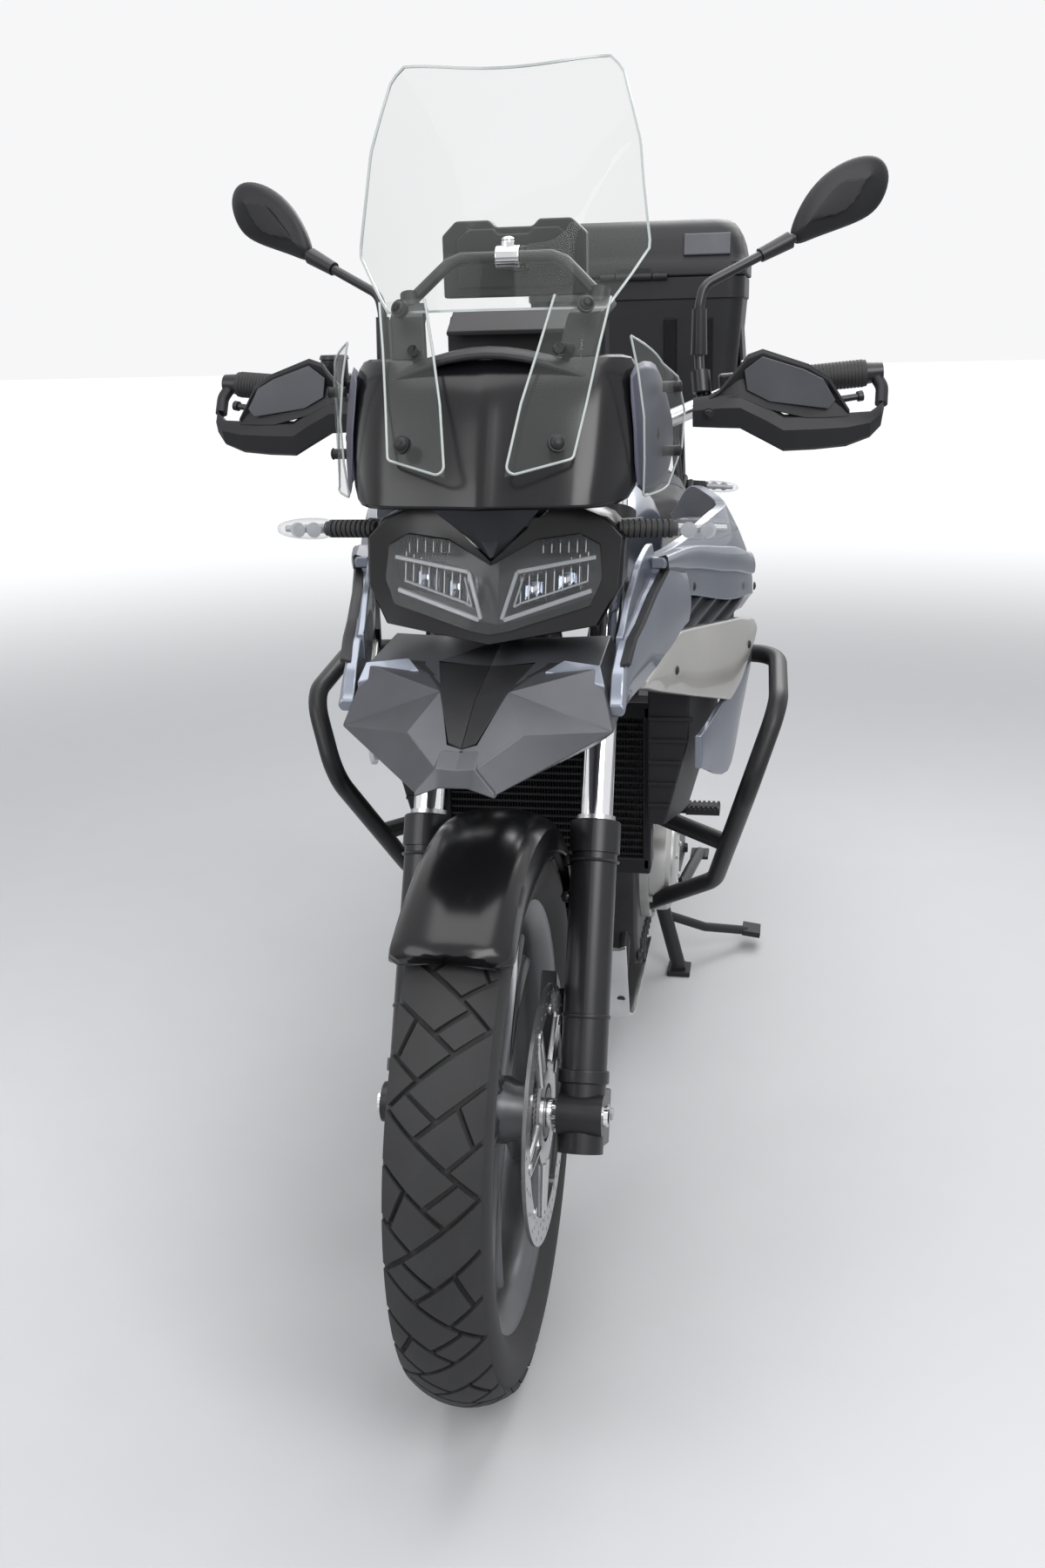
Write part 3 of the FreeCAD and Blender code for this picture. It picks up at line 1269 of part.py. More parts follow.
def case_lid():
    h = size("case_half_width")
    w = size("case_wall")
    seam = size("case_seam") + GAP
    top = size("case_top")
    x0, x1 = size("case_rear"), size("case_front")

    def section(z, inset):
        return [at(x1 - inset, h - inset, z), at(x0 + inset, h - inset, z), at(x0 + inset, -h + inset, z),
                at(x1 - inset, -h + inset, z)]

    shell = loft([section(seam, -LIP), section(seam + 26, -LIP), section(top - 22, 14), section(top, 50)], 36)
    hollow = loft([section(seam - 1, w - 2), section(seam + 26, w - 2), section(top - 26, 20), section(top - w, 52)],
                  30)
    room = [knuckle(*sorted((side * (HINGE_INNER - GAP), side * (HINGE_OUTER + 1))), BARREL + GAP)
            for side in (1, -1)]
    barrel = knuckle(-HINGE_INNER + GAP, HINGE_INNER - GAP, BARREL)
    return cut(join([cut(shell, hollow, *room), barrel]), knuckle(-80, 80, size("hinge_radius") + GAP))


def fuel_cap():
    cap = rod(at(FILLER_X, 0, FILLER_TOP + GAP), at(FILLER_X, 0, FILLER_TOP + 10), 40)
    tab = box(FILLER_X + 36, FILLER_HINGE[0], -8, 8, FILLER_HINGE[1] - 2, FILLER_TOP + 10)
    return cut(join([cap, tab, filler_barrel(8, 4)]), filler_barrel(20, 2 + GAP))


def plate_holder():
    arm = prism([at(-1700, -45, 866), at(-1750, -45, 884), at(-1900, -45, 700), at(-1880, -45, 660)], ACROSS * 90.0)
    plate = prism([at(-1896, -90, 704), at(-1905, -90, 706), at(-1952, -90, 560), at(-1943, -90, 557)], ACROSS * 180.0)
    return cut(join([arm, plate]), PARTS["main_frame"].Shape, PARTS["tail_lamp"].Shape)


def footrests():
    """Rider pegs on the pivot plates and passenger pegs on hangers from the struts."""
    outside = PLATE + size("plate_thickness")
    pegs = []
    for side in (1, -1):
        peg = box(-1028, -984, *sorted((side * (outside + 12), side * (outside + 74))), 372, 388)
        arm = rod(at(-1006, side * outside, 380), at(-1006, side * (outside + 20), 380), 11)
        pegs.append(join([peg, arm]))
        hanger = tube([at(-1190, side * 118, 668), at(-1290, side * 160, 556), at(-1290, side * 235, 548)], 9, 30)
        pegs.append(cut(hanger, PARTS["main_frame"].Shape))
    return Part.makeCompound(pegs)


def tail_lamp():
    return prism([at(-1750, -60, 876), at(-1782, -60, 884), at(-1776, -60, 926), at(-1750, -60, 926)],
                 ACROSS * 120.0, 4)


add("fuel_tank", tank())
add("side_fairings", both_sides(side_fairing()))
add("beak", beak())
add("headlamp_housing", headlamp())
add("headlamp_lens", lens())
add("front_cowl", cowl())
add("windscreen", windscreen())
add("wind_deflectors", both_sides(deflector()))
add("instrument_panel", instrument())
add("screen_mount", screen_mount())
add("display_unit", display())
add("rider_seat", seat(((-888, 838, 92), (-1000, 818, 128), (-1180, 826, 150), (-1290, 866, 150))))
add("passenger_seat", seat(((-1296, 900, 150), (-1450, 918, 142), (-1640, 930, 104))))
add("tail_fairings", both_sides(tail()))
add("luggage_rack", rack())
add("top_case_base", case_base())
add("top_case_lid", case_lid())
add("fuel_cap", fuel_cap())
add("tail_lamp", tail_lamp())
add("plate_holder", plate_holder())
front_lamps = both_sides(indicator(-125, 140, 1000, 120, 1))
rear_lamps = both_sides(indicator(-1735, 92, 880, 110, -1))
add("indicators", Part.makeCompound(front_lamps.Solids + rear_lamps.Solids))
add("footrests", footrests())

doc.recompute()
os.makedirs("parts", exist_ok=True)
broken = [item.Label for item in doc.Objects if {"Invalid", "Error"} & set(item.State)]
broken += [name for name, part in PARTS.items() if part.Shape.isNull() or not part.Shape.isValid()]
if broken:
    raise RuntimeError("failed objects: %s" % ", ".join(broken))
for name, part in PARTS.items():
    part.Shape.exportStep("parts/%s.step" % name)
whole = Part.makeCompound([part.Shape for part in PARTS.values()])
bounds = whole.BoundBox
print("nodes", len(PARTS), "box", [round(v, 1) for v in (bounds.XMin, bounds.XMax, bounds.YMin, bounds.YMax,
                                                         bounds.ZMin, bounds.ZMax)])
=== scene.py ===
# Adventure motorcycle on its centre stand. Places are in millimetres ahead of the front axle, to the left and
# above the floor, and turn into metres in the frame. Most shapes are built on the left and mirrored by both().
import json
from contextlib import contextmanager
from math import asin, atan2, copysign, cos, degrees, hypot, pi, radians, sin, tan

import bmesh
import bpy
from mathutils import Matrix, Vector
from mathutils.bvhtree import BVHTree


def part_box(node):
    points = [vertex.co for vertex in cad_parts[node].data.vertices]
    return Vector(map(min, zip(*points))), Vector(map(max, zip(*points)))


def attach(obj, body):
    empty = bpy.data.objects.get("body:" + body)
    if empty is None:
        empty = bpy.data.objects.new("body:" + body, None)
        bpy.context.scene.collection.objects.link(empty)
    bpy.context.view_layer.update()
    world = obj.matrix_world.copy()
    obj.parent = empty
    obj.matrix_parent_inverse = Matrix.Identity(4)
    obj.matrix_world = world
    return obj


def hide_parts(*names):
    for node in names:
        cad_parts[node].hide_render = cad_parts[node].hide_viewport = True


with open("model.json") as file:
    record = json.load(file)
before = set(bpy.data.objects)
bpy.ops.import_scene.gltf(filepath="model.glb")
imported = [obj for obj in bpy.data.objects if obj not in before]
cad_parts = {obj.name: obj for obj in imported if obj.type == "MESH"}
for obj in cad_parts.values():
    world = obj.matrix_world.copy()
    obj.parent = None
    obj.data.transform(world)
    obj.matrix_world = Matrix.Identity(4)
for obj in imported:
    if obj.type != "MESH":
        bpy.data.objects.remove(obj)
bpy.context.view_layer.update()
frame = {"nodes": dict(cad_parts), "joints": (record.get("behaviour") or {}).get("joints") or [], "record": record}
NODES = frame["nodes"]

# Measures taken from the frame

MM = 0.001
AHEAD, ACROSS, UP = Vector((1, 0, 0)), Vector((0, 1, 0)), Vector((0, 0, 1))


def wheel_of(node):
    """Where a tyre's middle lies ahead and above in metres, and its radius in millimetres."""
    low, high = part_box(node)
    return (low.x + high.x) / 2, (low.z + high.z) / 2, (high.z - low.z) / 2 / MM


AXLE_X, AXLE_Z, FRONT_R = wheel_of("front_tyre")
REAR_X, REAR_Z, REAR_R = wheel_of("rear_tyre")
FRONT_HUB = Vector((AXLE_X, 0, AXLE_Z))
REAR_HUB = Vector((REAR_X, 0, REAR_Z))
STEER_JOINT = [j for j in frame["joints"] if j["name"] == "steering_turn"][0]
STEER = Vector(STEER_JOINT["axis"]).normalized()
STEER_AHEAD = Vector((STEER.z, 0, -STEER.x))
STEER_FOOT = Vector(STEER_JOINT["pos_m"])


def at(x, y, z):
    """A place by its millimetres ahead of the front axle, to the left and above the floor."""
    return Vector((AXLE_X + x * MM, y * MM, z * MM))


def place(p):
    """A vector as it is, or a triple in millimetres turned into a place."""
    return p if isinstance(p, Vector) else at(*p)


def fork(along, y, ahead):
    """A place by its height along the steering axis, across, and ahead of that axis."""
    return STEER_FOOT + STEER * (along * MM) + STEER_AHEAD * (ahead * MM) + ACROSS * (y * MM)


# Materials


def add_node(tree, kind, operation=None, **values):
    """A shader node. A socket is named as in Blender, or by s and its number, and takes a value or a link."""
    node = tree.nodes.new("ShaderNode" + kind)
    if operation:
        node.operation = operation
    for name, value in values.items():
        socket = node.inputs[int(name[1:]) if name[1:].isdigit() else name.replace("_", " ")]
        if isinstance(value, bpy.types.NodeSocket):
            tree.links.new(value, socket)
        else:
            socket.default_value = value
    return node


def add_bump(tree, vector, scale, detail, strength, distance):
    """Bumps the surface with a noise."""
    noise = add_node(tree, "TexNoise", Scale=scale, Detail=detail, Vector=vector)
    bump = add_node(tree, "Bump", Strength=strength, Distance=distance, Height=noise.outputs["Fac"])
    tree.links.new(bump.outputs["Normal"], tree.nodes["Principled BSDF"].inputs["Normal"])


def shader(name, colour, rough, metallic=0.0, grain=0.0, grain_scale=900.0, vary=0.12, patch=14.0, spread=0.12,
           **sockets):
    """Principled shader with patches of colour and gloss and a fine bump."""
    material = bpy.data.materials.new(name)
    material.use_nodes = True
    tree = material.node_tree
    principled = tree.nodes["Principled BSDF"].inputs
    principled["Metallic"].default_value = metallic
    for socket, value in sockets.items():
        principled[socket.replace("_", " ")].default_value = value
    vector = add_node(tree, "TexCoord").outputs["Object"]
    cloud = add_node(tree, "TexNoise", Scale=patch, Detail=6, Vector=vector).outputs["Fac"]
    ramp = add_node(tree, "ValToRGB", Fac=cloud)
    for stop, position, gain in zip(ramp.color_ramp.elements, (0.3, 0.7), (1 - vary, 1 + vary)):
        stop.position = position
        stop.color = [min(1, c * gain) for c in colour] + [1]
    tree.links.new(ramp.outputs["Color"], principled["Base Color"])
    gloss = add_node(tree, "MapRange", To_Min=rough * (1 - spread), To_Max=rough * (1 + spread), Value=cloud)
    tree.links.new(gloss.outputs["Result"], principled["Roughness"])
    if grain:
        add_bump(tree, vector, grain_scale, 3, grain, 0.0004)
    return material


def brushed(name, colour, rough, stretch):
    """Metal whose fine scratches run across one direction."""
    material = shader(name, colour, rough, 1.0, vary=0.06)
    tree = material.node_tree
    vector = add_node(tree, "TexCoord").outputs["Object"]
    scratches = add_node(tree, "Mapping", Scale=stretch, Vector=vector)
    add_bump(tree, scratches.outputs["Vector"], 60, 4, 0.25, 0.0003)
    return material


def clear(name, colour, facing, edge):
    """Clear sheet: nearly invisible face on, denser where it is seen along its surface."""
    material = shader(name, colour, 0.04, vary=0.03, spread=0.3)
    tree = material.node_tree
    weight = add_node(tree, "LayerWeight", Blend=0.35).outputs["Facing"]
    cover = add_node(tree, "MapRange", To_Min=facing, To_Max=edge, Value=weight)
    tree.links.new(cover.outputs["Result"], tree.nodes["Principled BSDF"].inputs["Alpha"])
    return material


LOOKS = {}


def look(name, *values, make=shader, **more):
    """Makes a material and keeps it under its name."""
    LOOKS[name] = make(name, *values, **more)


look("tyre", (0.019, 0.019, 0.020), 0.78, grain=0.5, grain_scale=500, vary=0.25, patch=22)
look("wheel_silver", (0.12, 0.123, 0.13), 0.32, 0.75, grain=0.1, vary=0.08)
look("disc_steel", (0.52, 0.52, 0.53), 0.28, (1.0, 30.0, 1.0), make=brushed)
look("fork_black", (0.018, 0.018, 0.020), 0.34, 0.3, grain=0.1)
look("chrome", (0.80, 0.80, 0.82), 0.07, 1.0, vary=0.03)
look("bar_aluminium", (0.66, 0.66, 0.67), 0.26, 1.0, grain=0.08)
look("frame_black", (0.016, 0.016, 0.018), 0.40, 0.1, grain=0.35, grain_scale=700, Specular_IOR_Level=0.35)
look("engine_metal", (0.060, 0.060, 0.064), 0.48, 0.6, grain=0.5, grain_scale=450)
look("exhaust_steel", (0.46, 0.43, 0.39), 0.30, 1.0, vary=0.2, patch=8)
look("black_plastic", (0.012, 0.012, 0.014), 0.46, grain=0.25, grain_scale=1400, Specular_IOR_Level=0.28)
look("gloss_black", (0.006, 0.006, 0.007), 0.08, vary=0.1, Coat_Weight=0.6)
look("dark_grey", (0.062, 0.064, 0.072), 0.36, 0.45, grain=0.15, grain_scale=1500)
look("silver_paint", (0.205, 0.225, 0.27), 0.33, 0.75, grain=0.08, grain_scale=2500, vary=0.05, Coat_Weight=0.6)
look("clear_screen", (0.20, 0.22, 0.20), 0.10, 0.40, make=clear)
look("clear_lens", (0.22, 0.23, 0.24), 0.10, 0.45, make=clear)
look("red_lens", (0.42, 0.012, 0.012), 0.12, vary=0.1, Coat_Weight=0.5)
look("rubber", (0.016, 0.016, 0.017), 0.7, grain=0.4, grain_scale=600)
look("seat_cover", (0.022, 0.022, 0.024), 0.58, grain=1.0, grain_scale=800, Sheen_Weight=0.15)
look("chain_steel", (0.20, 0.19, 0.17), 0.38, 1.0, vary=0.3, patch=60)
look("white_panel", (0.42, 0.41, 0.39), 0.34, 0.35, grain=0.06, vary=0.04, Coat_Weight=0.6)
# Pale opaque colour on the clear sheets' edges: a painted highlight standing in for the bright glints along them.
look("screen_edge", (0.36, 0.39, 0.38), 0.15, vary=0.05)
look("violet_grey", (0.078, 0.078, 0.112), 0.42, 0.3, grain=0.2, grain_scale=1500)
look("satin_black", (0.007, 0.007, 0.008), 0.21, vary=0.1, Specular_IOR_Level=0.34)
look("lamp_dark", (0.018, 0.019, 0.022), 0.22, 0.2)
look("reflector", (0.72, 0.74, 0.78), 0.10, 1.0, vary=0.05)
look("led", (0.36, 0.37, 0.39), 0.14, vary=0.05, Coat_Weight=0.5)
look("red_button", (0.55, 0.02, 0.02), 0.35)
look("mirror_glass", (0.85, 0.86, 0.88), 0.02, 1.0, vary=0.01)
look("cast_silver", (0.50, 0.50, 0.49), 0.42, 0.85, grain=0.5, grain_scale=500)

for part in frame["record"]["subparts"]:
    node_mesh = NODES[part["node"]].data
    node_mesh.materials.clear()
    node_mesh.materials.append(LOOKS[part["material_slot"]])

# Shapes


def new_object(name, data):
    made = bpy.data.objects.new(name, data)
    bpy.context.scene.collection.objects.link(made)
    return made


def new_mesh(name, bm):
    mesh = bpy.data.meshes.new(name)
    bm.to_mesh(mesh)
    bm.free()
    return mesh


def subdivide(thing, levels):
    surface = thing.modifiers.new("surface", "SUBSURF")
    surface.levels = surface.render_levels = levels


@contextmanager
def piece(name, look_name, replaces=(), body="chassis", angle=35, bevel=0.0, segments=2, smooth=0):
    """A mesh to build on, which becomes a piece that rides on a body."""
    bm = bmesh.new()
    yield bm
    bmesh.ops.recalc_face_normals(bm, faces=bm.faces)
    mesh = new_mesh(name, bm)
    mesh.polygons.foreach_set("use_smooth", [True] * len(mesh.polygons))
    mesh.set_sharp_from_angle(angle=radians(angle))
    mesh.materials.append(LOOKS[look_name])
    made = new_object(name, mesh)
    if smooth:
        subdivide(made, smooth)
    if bevel:
        edges = made.modifiers.new("edges", "BEVEL")
        edges.width = bevel * MM
        edges.segments = segments
        edges.limit_method = "ANGLE"
        edges.angle_limit = radians(28)
        edges.harden_normals = True
    if replaces:
        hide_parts(*replaces)
    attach(made, body)


def both(bm):
    """Adds the mirror image across the middle plane of all that is there."""
    copy = bmesh.ops.duplicate(bm, geom=bm.verts[:] + bm.edges[:] + bm.faces[:])["geom"]
    for item in copy:
        if isinstance(item, bmesh.types.BMVert):
            item.co.y = -item.co.y
    bmesh.ops.reverse_faces(bm, faces=[f for f in copy if isinstance(f, bmesh.types.BMFace)])


def thicken(bm, shift):
    """Gives open sheets a thickness, moved by a shift in millimetres."""
    for item in bmesh.ops.extrude_face_region(bm, geom=bm.faces[:])["geom"]:
        if isinstance(item, bmesh.types.BMVert):
            item.co += Vector(shift) * MM


def shares(count):
    """Even steps from 0 to 1."""
    return [index / count for index in range(count + 1)]


def turns(count, start=0.0):
    """Even angles once round."""
    return [start + 2 * pi * index / count for index in range(count)]


def spoke(angle):
    """The direction of an angle in the wheels' plane."""
    return Vector((cos(angle), 0, sin(angle)))


def squarish(angle, flat, tall):
    """Cosine and sine with powers, which square a circle off when they are below one."""
    return copysign(abs(cos(angle)) ** flat, cos(angle)), copysign(abs(sin(angle)) ** tall, sin(angle))


def other_side(rows):
    """Rows of triples mirrored, from the last to the first."""
    return [[(x, -y, z) for x, y, z in row] for row in reversed(rows)]


def prism(bm, points, along):
    """A closed outline pushed along by millimetres."""
    low = [bm.verts.new(place(p)) for p in points]
    high = [bm.verts.new(v.co + Vector(along) * MM) for v in low]
    bm.faces.new(low)
    bm.faces.new(high)
    for index in range(len(low)):
        bm.faces.new([low[index - 1], low[index], high[index], high[index - 1]])


def slab(bm, y, wide, outline):
    """A prism across the machine, from its outline in x and z."""
    prism(bm, [(x, y, z) for x, z in outline], (0, wide, 0))


def skin(bm, sections, closed=True, caps=True):
    """Quads between rows of points; each row is a ring when closed."""
    rows = [[bm.verts.new(place(p)) for p in row] for row in sections]
    for low, high in zip(rows, rows[1:]):
        for index in range(0 if closed else 1, len(low)):
            bm.faces.new([low[index - 1], low[index], high[index], high[index - 1]])
    if caps and closed:
        bm.faces.new(rows[0])
        bm.faces.new(rows[-1])


def frame_of(direction):
    """Two directions square to one another and to the given one, and that one."""
    z = direction.normalized()
    x = z.cross(AHEAD if abs(z.x) < 0.8 else ACROSS).normalized()
    return x, z.cross(x), z


def circle(centre, x, y, wide, high=None, sides=20):
    """A ring of places, its half axes in millimetres."""
    high = wide if high is None else high
    return [centre + (x * (cos(a) * wide) + y * (sin(a) * high)) * MM for a in turns(sides)]


def rod(bm, start, end, radius, far=None, sides=20):
    """A round rod, or a cone when its far radius differs."""
    start, end = place(start), place(end)
    x, y = frame_of(end - start)[:2]
    far = radius if far is None else far
    skin(bm, [circle(start, x, y, radius, sides=sides), circle(end, x, y, far, sides=sides)])


def cross_rod(bm, x, y0, y1, z, radius, sides=20):
    """A rod straight across the machine."""
    rod(bm, (x, y0, z), (x, y1, z), radius, sides=sides)


def lathe(bm, centre, direction, profile, sides=96):
    """A closed profile of (radius, along) turned about a line."""
    x, y, z = frame_of(direction)
    centre = place(centre)
    rings = [[bm.verts.new(centre + ((x * cos(a) + y * sin(a)) * r + z * h) * MM) for r, h in profile]
             for a in turns(sides)]
    for index in range(sides):
        low, high = rings[index - 1], rings[index]
        for step in range(len(profile)):
            bm.faces.new([low[step - 1], low[step], high[step], high[step - 1]])


def band(inner, outer, low, high):
    """The profile of a plain ring."""
    return [(inner, low), (outer, low), (outer, high), (inner, high)]


def bent(points, bend, step=9):
    """A middle line through the points, its corners rounded to a bend radius."""
    line = [points[0]]
    for before, corner, after in zip(points, points[1:], points[2:]):
        back, onward = before - corner, after - corner
        turn = pi - back.angle(onward)
        if turn < 0.03:
            line.append(corner)
            continue
        reach = min(bend * MM * tan(turn / 2), 0.46 * back.length, 0.46 * onward.length)
        radius = reach / tan(turn / 2)
        inward = (back.normalized() + onward.normalized()).normalized()
        side = (onward.normalized() - back.normalized()).normalized()
        centre = corner + inward * hypot(radius, reach)
        for share in shares(max(2, round(degrees(turn) / step))):
            angle = turn * (share - 0.5)
            line.append(centre - inward * (radius * cos(angle)) + side * (radius * sin(angle)))
    return line + [points[-1]]


def tube(bm, points, radius, bend=60, sides=20, widths=None):
    """A round tube along a bent line; widths may give the radius at each end."""
    line = bent([place(p) for p in points], bend)
    x = frame_of(line[1] - line[0])[0]
    rows = []
    total = sum((b - a).length for a, b in zip(line, line[1:]))
    gone = 0.0
    for index, here in enumerate(line):
        if index:
            gone += (here - line[index - 1]).length
        before = (here - line[index - 1]).normalized() if index else (line[1] - here).normalized()
        after = (line[index + 1] - here).normalized() if index + 1 < len(line) else before
        tangent = (before + after).normalized()
        x = (x - tangent * x.dot(tangent)).normalized()
        r = radius if widths is None else widths[0] + (widths[1] - widths[0]) * gone / total
        stretch = 1 / max(0.5, cos(before.angle(after) / 2)) if before != after else 1
        rows.append(circle(here, x, tangent.cross(x), r * stretch, sides=sides))
    skin(bm, rows)


def bolt(bm, spot, direction, radius=5.0, height=4.0):
    """A screw: a washer under a hexagonal head with a chamfer."""
    z = Vector(direction).normalized() * MM
    spot = place(spot)
    rod(bm, spot, spot + z * 0.8, radius * 1.35, sides=24)
    spot = spot + z * 0.8
    rod(bm, spot, spot + z * (height * 0.8), radius, sides=6)
    rod(bm, spot + z * (height * 0.8), spot + z * height, radius, radius * 0.8, sides=6)


def dome(bm, spot, direction, radius, height):
    """A domed screw head."""
    x, y, z = frame_of(Vector(direction))
    lifts = [pi / 2 * step / 5 for step in range(5)]
    skin(bm, [circle(place(spot) + z * (height * MM * sin(a)), x, y, radius * cos(a)) for a in lifts])


def block(bm, centre, size, turn=None):
    """A box, turned by a matrix or by (degrees, axis)."""
    if isinstance(turn, tuple):
        turn = Matrix.Rotation(radians(turn[0]), 4, turn[1])
    matrix = Matrix.Translation(place(centre)) @ (turn or Matrix.Identity(4))
    bmesh.ops.create_cube(bm, size=1.0, matrix=matrix @ Matrix.Diagonal([s * MM for s in size] + [1]))


# Stage: camera, light and floor

CAMERA_PLACE = at(1512.4, 322.6, 1219.7)
CAMERA_YAW = radians(180 + 10.36)
CAMERA_DOWN = radians(17.445)
CAMERA_ROLL = radians(-1.43)
FOCAL_PIXELS = 1676.6
PHOTO_HEIGHT = 1800


def make_camera():
    """The camera that was fitted to the photograph."""
    data = bpy.data.cameras.new("photo_camera")
    data.sensor_fit = "VERTICAL"
    data.sensor_height = 36
    data.lens = FOCAL_PIXELS / PHOTO_HEIGHT * data.sensor_height
    data.clip_start = 0.05
    camera = new_object("photo_camera", data)
    sight = spoke(-CAMERA_DOWN)
    sight = Matrix.Rotation(CAMERA_YAW, 3, "Z") @ sight
    right = sight.cross(UP).normalized()
    up = right.cross(sight)
    across = right * cos(CAMERA_ROLL) + up * sin(CAMERA_ROLL)
    upward = up * cos(CAMERA_ROLL) - right * sin(CAMERA_ROLL)
    camera.matrix_world = Matrix.Translation(CAMERA_PLACE) @ Matrix((across, upward, -sight)).transposed().to_4x4()
    bpy.context.scene.camera = camera


def seen_by(tree, *rays):
    """1 for rays of the kinds that are named, 0 for others."""
    path = add_node(tree, "LightPath").outputs
    seen = path[rays[0]]
    for ray in rays[1:]:
        seen = add_node(tree, "Math", "MAXIMUM", s0=seen, s1=path[ray]).outputs["Value"]
    return seen


def make_lights():
    """A pale room for the camera, softer light from it, and four lamps."""
    world = bpy.data.worlds.new("studio")
    bpy.context.scene.world = world
    world.use_nodes = True
    tree = world.node_tree
    light = tree.nodes["Background"]
    light.inputs["Color"].default_value = (0.93, 0.96, 1.0, 1)
    light.inputs["Strength"].default_value = 0.55
    pale = add_node(tree, "Background", Color=(0.93, 0.93, 0.94, 1), Strength=1.0)
    mix = add_node(tree, "MixShader", Fac=seen_by(tree, "Is Camera Ray", "Is Glossy Ray", "Is Transmission Ray"),
                   s1=light.outputs["Background"], s2=pale.outputs["Background"])
    tree.links.new(mix.outputs["Shader"], tree.nodes["World Output"].inputs["Surface"])
    for name, spot, power, width in (("key", (1900, 1500, 2600), 60, 1.6), ("fill", (1700, -1700, 1900), 26, 1.6),
                                     ("back", (-2300, 600, 2600), 45, 1.8), ("top", (-300, 0, 2900), 40, 2.2)):
        data = bpy.data.lights.new(name, "AREA")
        data.energy = power
        data.size = width
        lamp_object = new_object(name, data)
        lamp_object.location = at(*spot)
        lamp_object.rotation_euler = (at(-300, 0, 700) - lamp_object.location).to_track_quat("-Z", "Y").to_euler()


def make_floor():
    """A pale floor that fades into the background for the camera."""
    bm = bmesh.new()
    wide = 40
    bm.faces.new([bm.verts.new((x, y, 0)) for x, y in ((-wide, -wide), (wide, -wide), (wide, wide), (-wide, wide))])
    floor = new_object("floor", new_mesh("floor", bm))
    floor.location.z = -0.0005
    material = shader("floor", (0.52, 0.52, 0.53), 0.8, grain=0.3, grain_scale=120, vary=0.012, patch=9)
    tree = material.node_tree
    far = add_node(tree, "VectorMath", "LENGTH", s0=add_node(tree, "TexCoord").outputs["Object"])
    fade = add_node(tree, "MapRange", From_Min=1.6, From_Max=7.0, To_Max=0.72, Value=far.outputs["Value"])
    fade.interpolation_type = "SMOOTHSTEP"
    glow = add_node(tree, "Math", "MULTIPLY", s0=fade.outputs["Result"],
                    s1=seen_by(tree, "Is Camera Ray", "Is Transmission Ray"))
    principled = tree.nodes["Principled BSDF"].inputs
    principled["Emission Color"].default_value = (1, 1, 1, 1)
    tree.links.new(glow.outputs["Value"], principled["Emission Strength"])
    floor.data.materials.append(material)


make_camera()
make_lights()
make_floor()


# Wheels

FRONT_BEAD, REAR_BEAD = 241.3, 215.9
GROOVE = 6.0
PERIODS = 12
REACH = 0.9
STRIP_CUTS = ((0.25,), (0.62,), ())
BLOCK_STEPS = (6, 7)
DISC_WIDTH = 32


def crown_place(outer, curve, across, u, depth):
    """A place on the crown: across and round the tyre in millimetres, and its depth under the tread."""
    phi = across / curve
    radius = outer - curve + (curve - depth) * cos(phi)
    turn = u / outer
    return Vector((radius * sin(turn), (curve - depth) * sin(phi), radius * cos(turn))) * MM


def shrink(quad, gap):
    """A four-sided outline moved inwards by a gap."""
    turning = sum(quad[i - 1][0] * quad[i][1] - quad[i][0] * quad[i - 1][1] for i in range(4))
    side = 1 if turning > 0 else -1
    lines = []
    for (x0, y0), (x1, y1) in zip(quad[-1:] + quad[:-1], quad):
        length = hypot(x1 - x0, y1 - y0)
        nx, ny = -(y1 - y0) / length * side, (x1 - x0) / length * side
        lines.append((nx, ny, nx * x0 + ny * y0 + gap))
    result = []
    for (a, b, c), (d, e, f) in zip(lines, lines[1:] + lines[:1]):
        det = a * e - b * d
        result.append(((c * e - b * f) / det, (a * f - c * d) / det))
    return result


def tread_block(bm, quad, outer, curve, centre):
    """One block with a bent top and walls down to the groove's floor."""
    wide, long = BLOCK_STEPS
    grids = []
    for depth, gap in ((0.0, GROOVE / 2), (GROOVE + 0.4, GROOVE / 2 - 0.7)):
        a, b, c, d = [Vector(corner) for corner in shrink(quad, gap)]
        grid = []
        for p in shares(wide):
            spots = [a.lerp(b, p).lerp(d.lerp(c, p), q) for q in shares(long)]
            grid.append([bm.verts.new(centre + crown_place(outer, curve, spot.y, spot.x, depth)) for spot in spots])
        grids.append(grid)
    top, base = grids
    for i in range(wide):
        for j in range(long):
            bm.faces.new([top[i][j], top[i + 1][j], top[i + 1][j + 1], top[i][j + 1]])
    edge = [(i, 0) for i in range(wide)] + [(wide, j) for j in range(long)]
    edge += [(i, long) for i in range(wide, 0, -1)] + [(0, j) for j in range(long, 0, -1)]
    for (i0, j0), (i1, j1) in zip(edge, edge[1:] + edge[:1]):
        bm.faces.new([top[i0][j0], top[i1][j1], base[i1][j1], base[i0][j0]])
    bmesh.ops.delete(bm, geom=[base[i][j] for i in range(1, wide) for j in range(1, long)], context="VERTS")


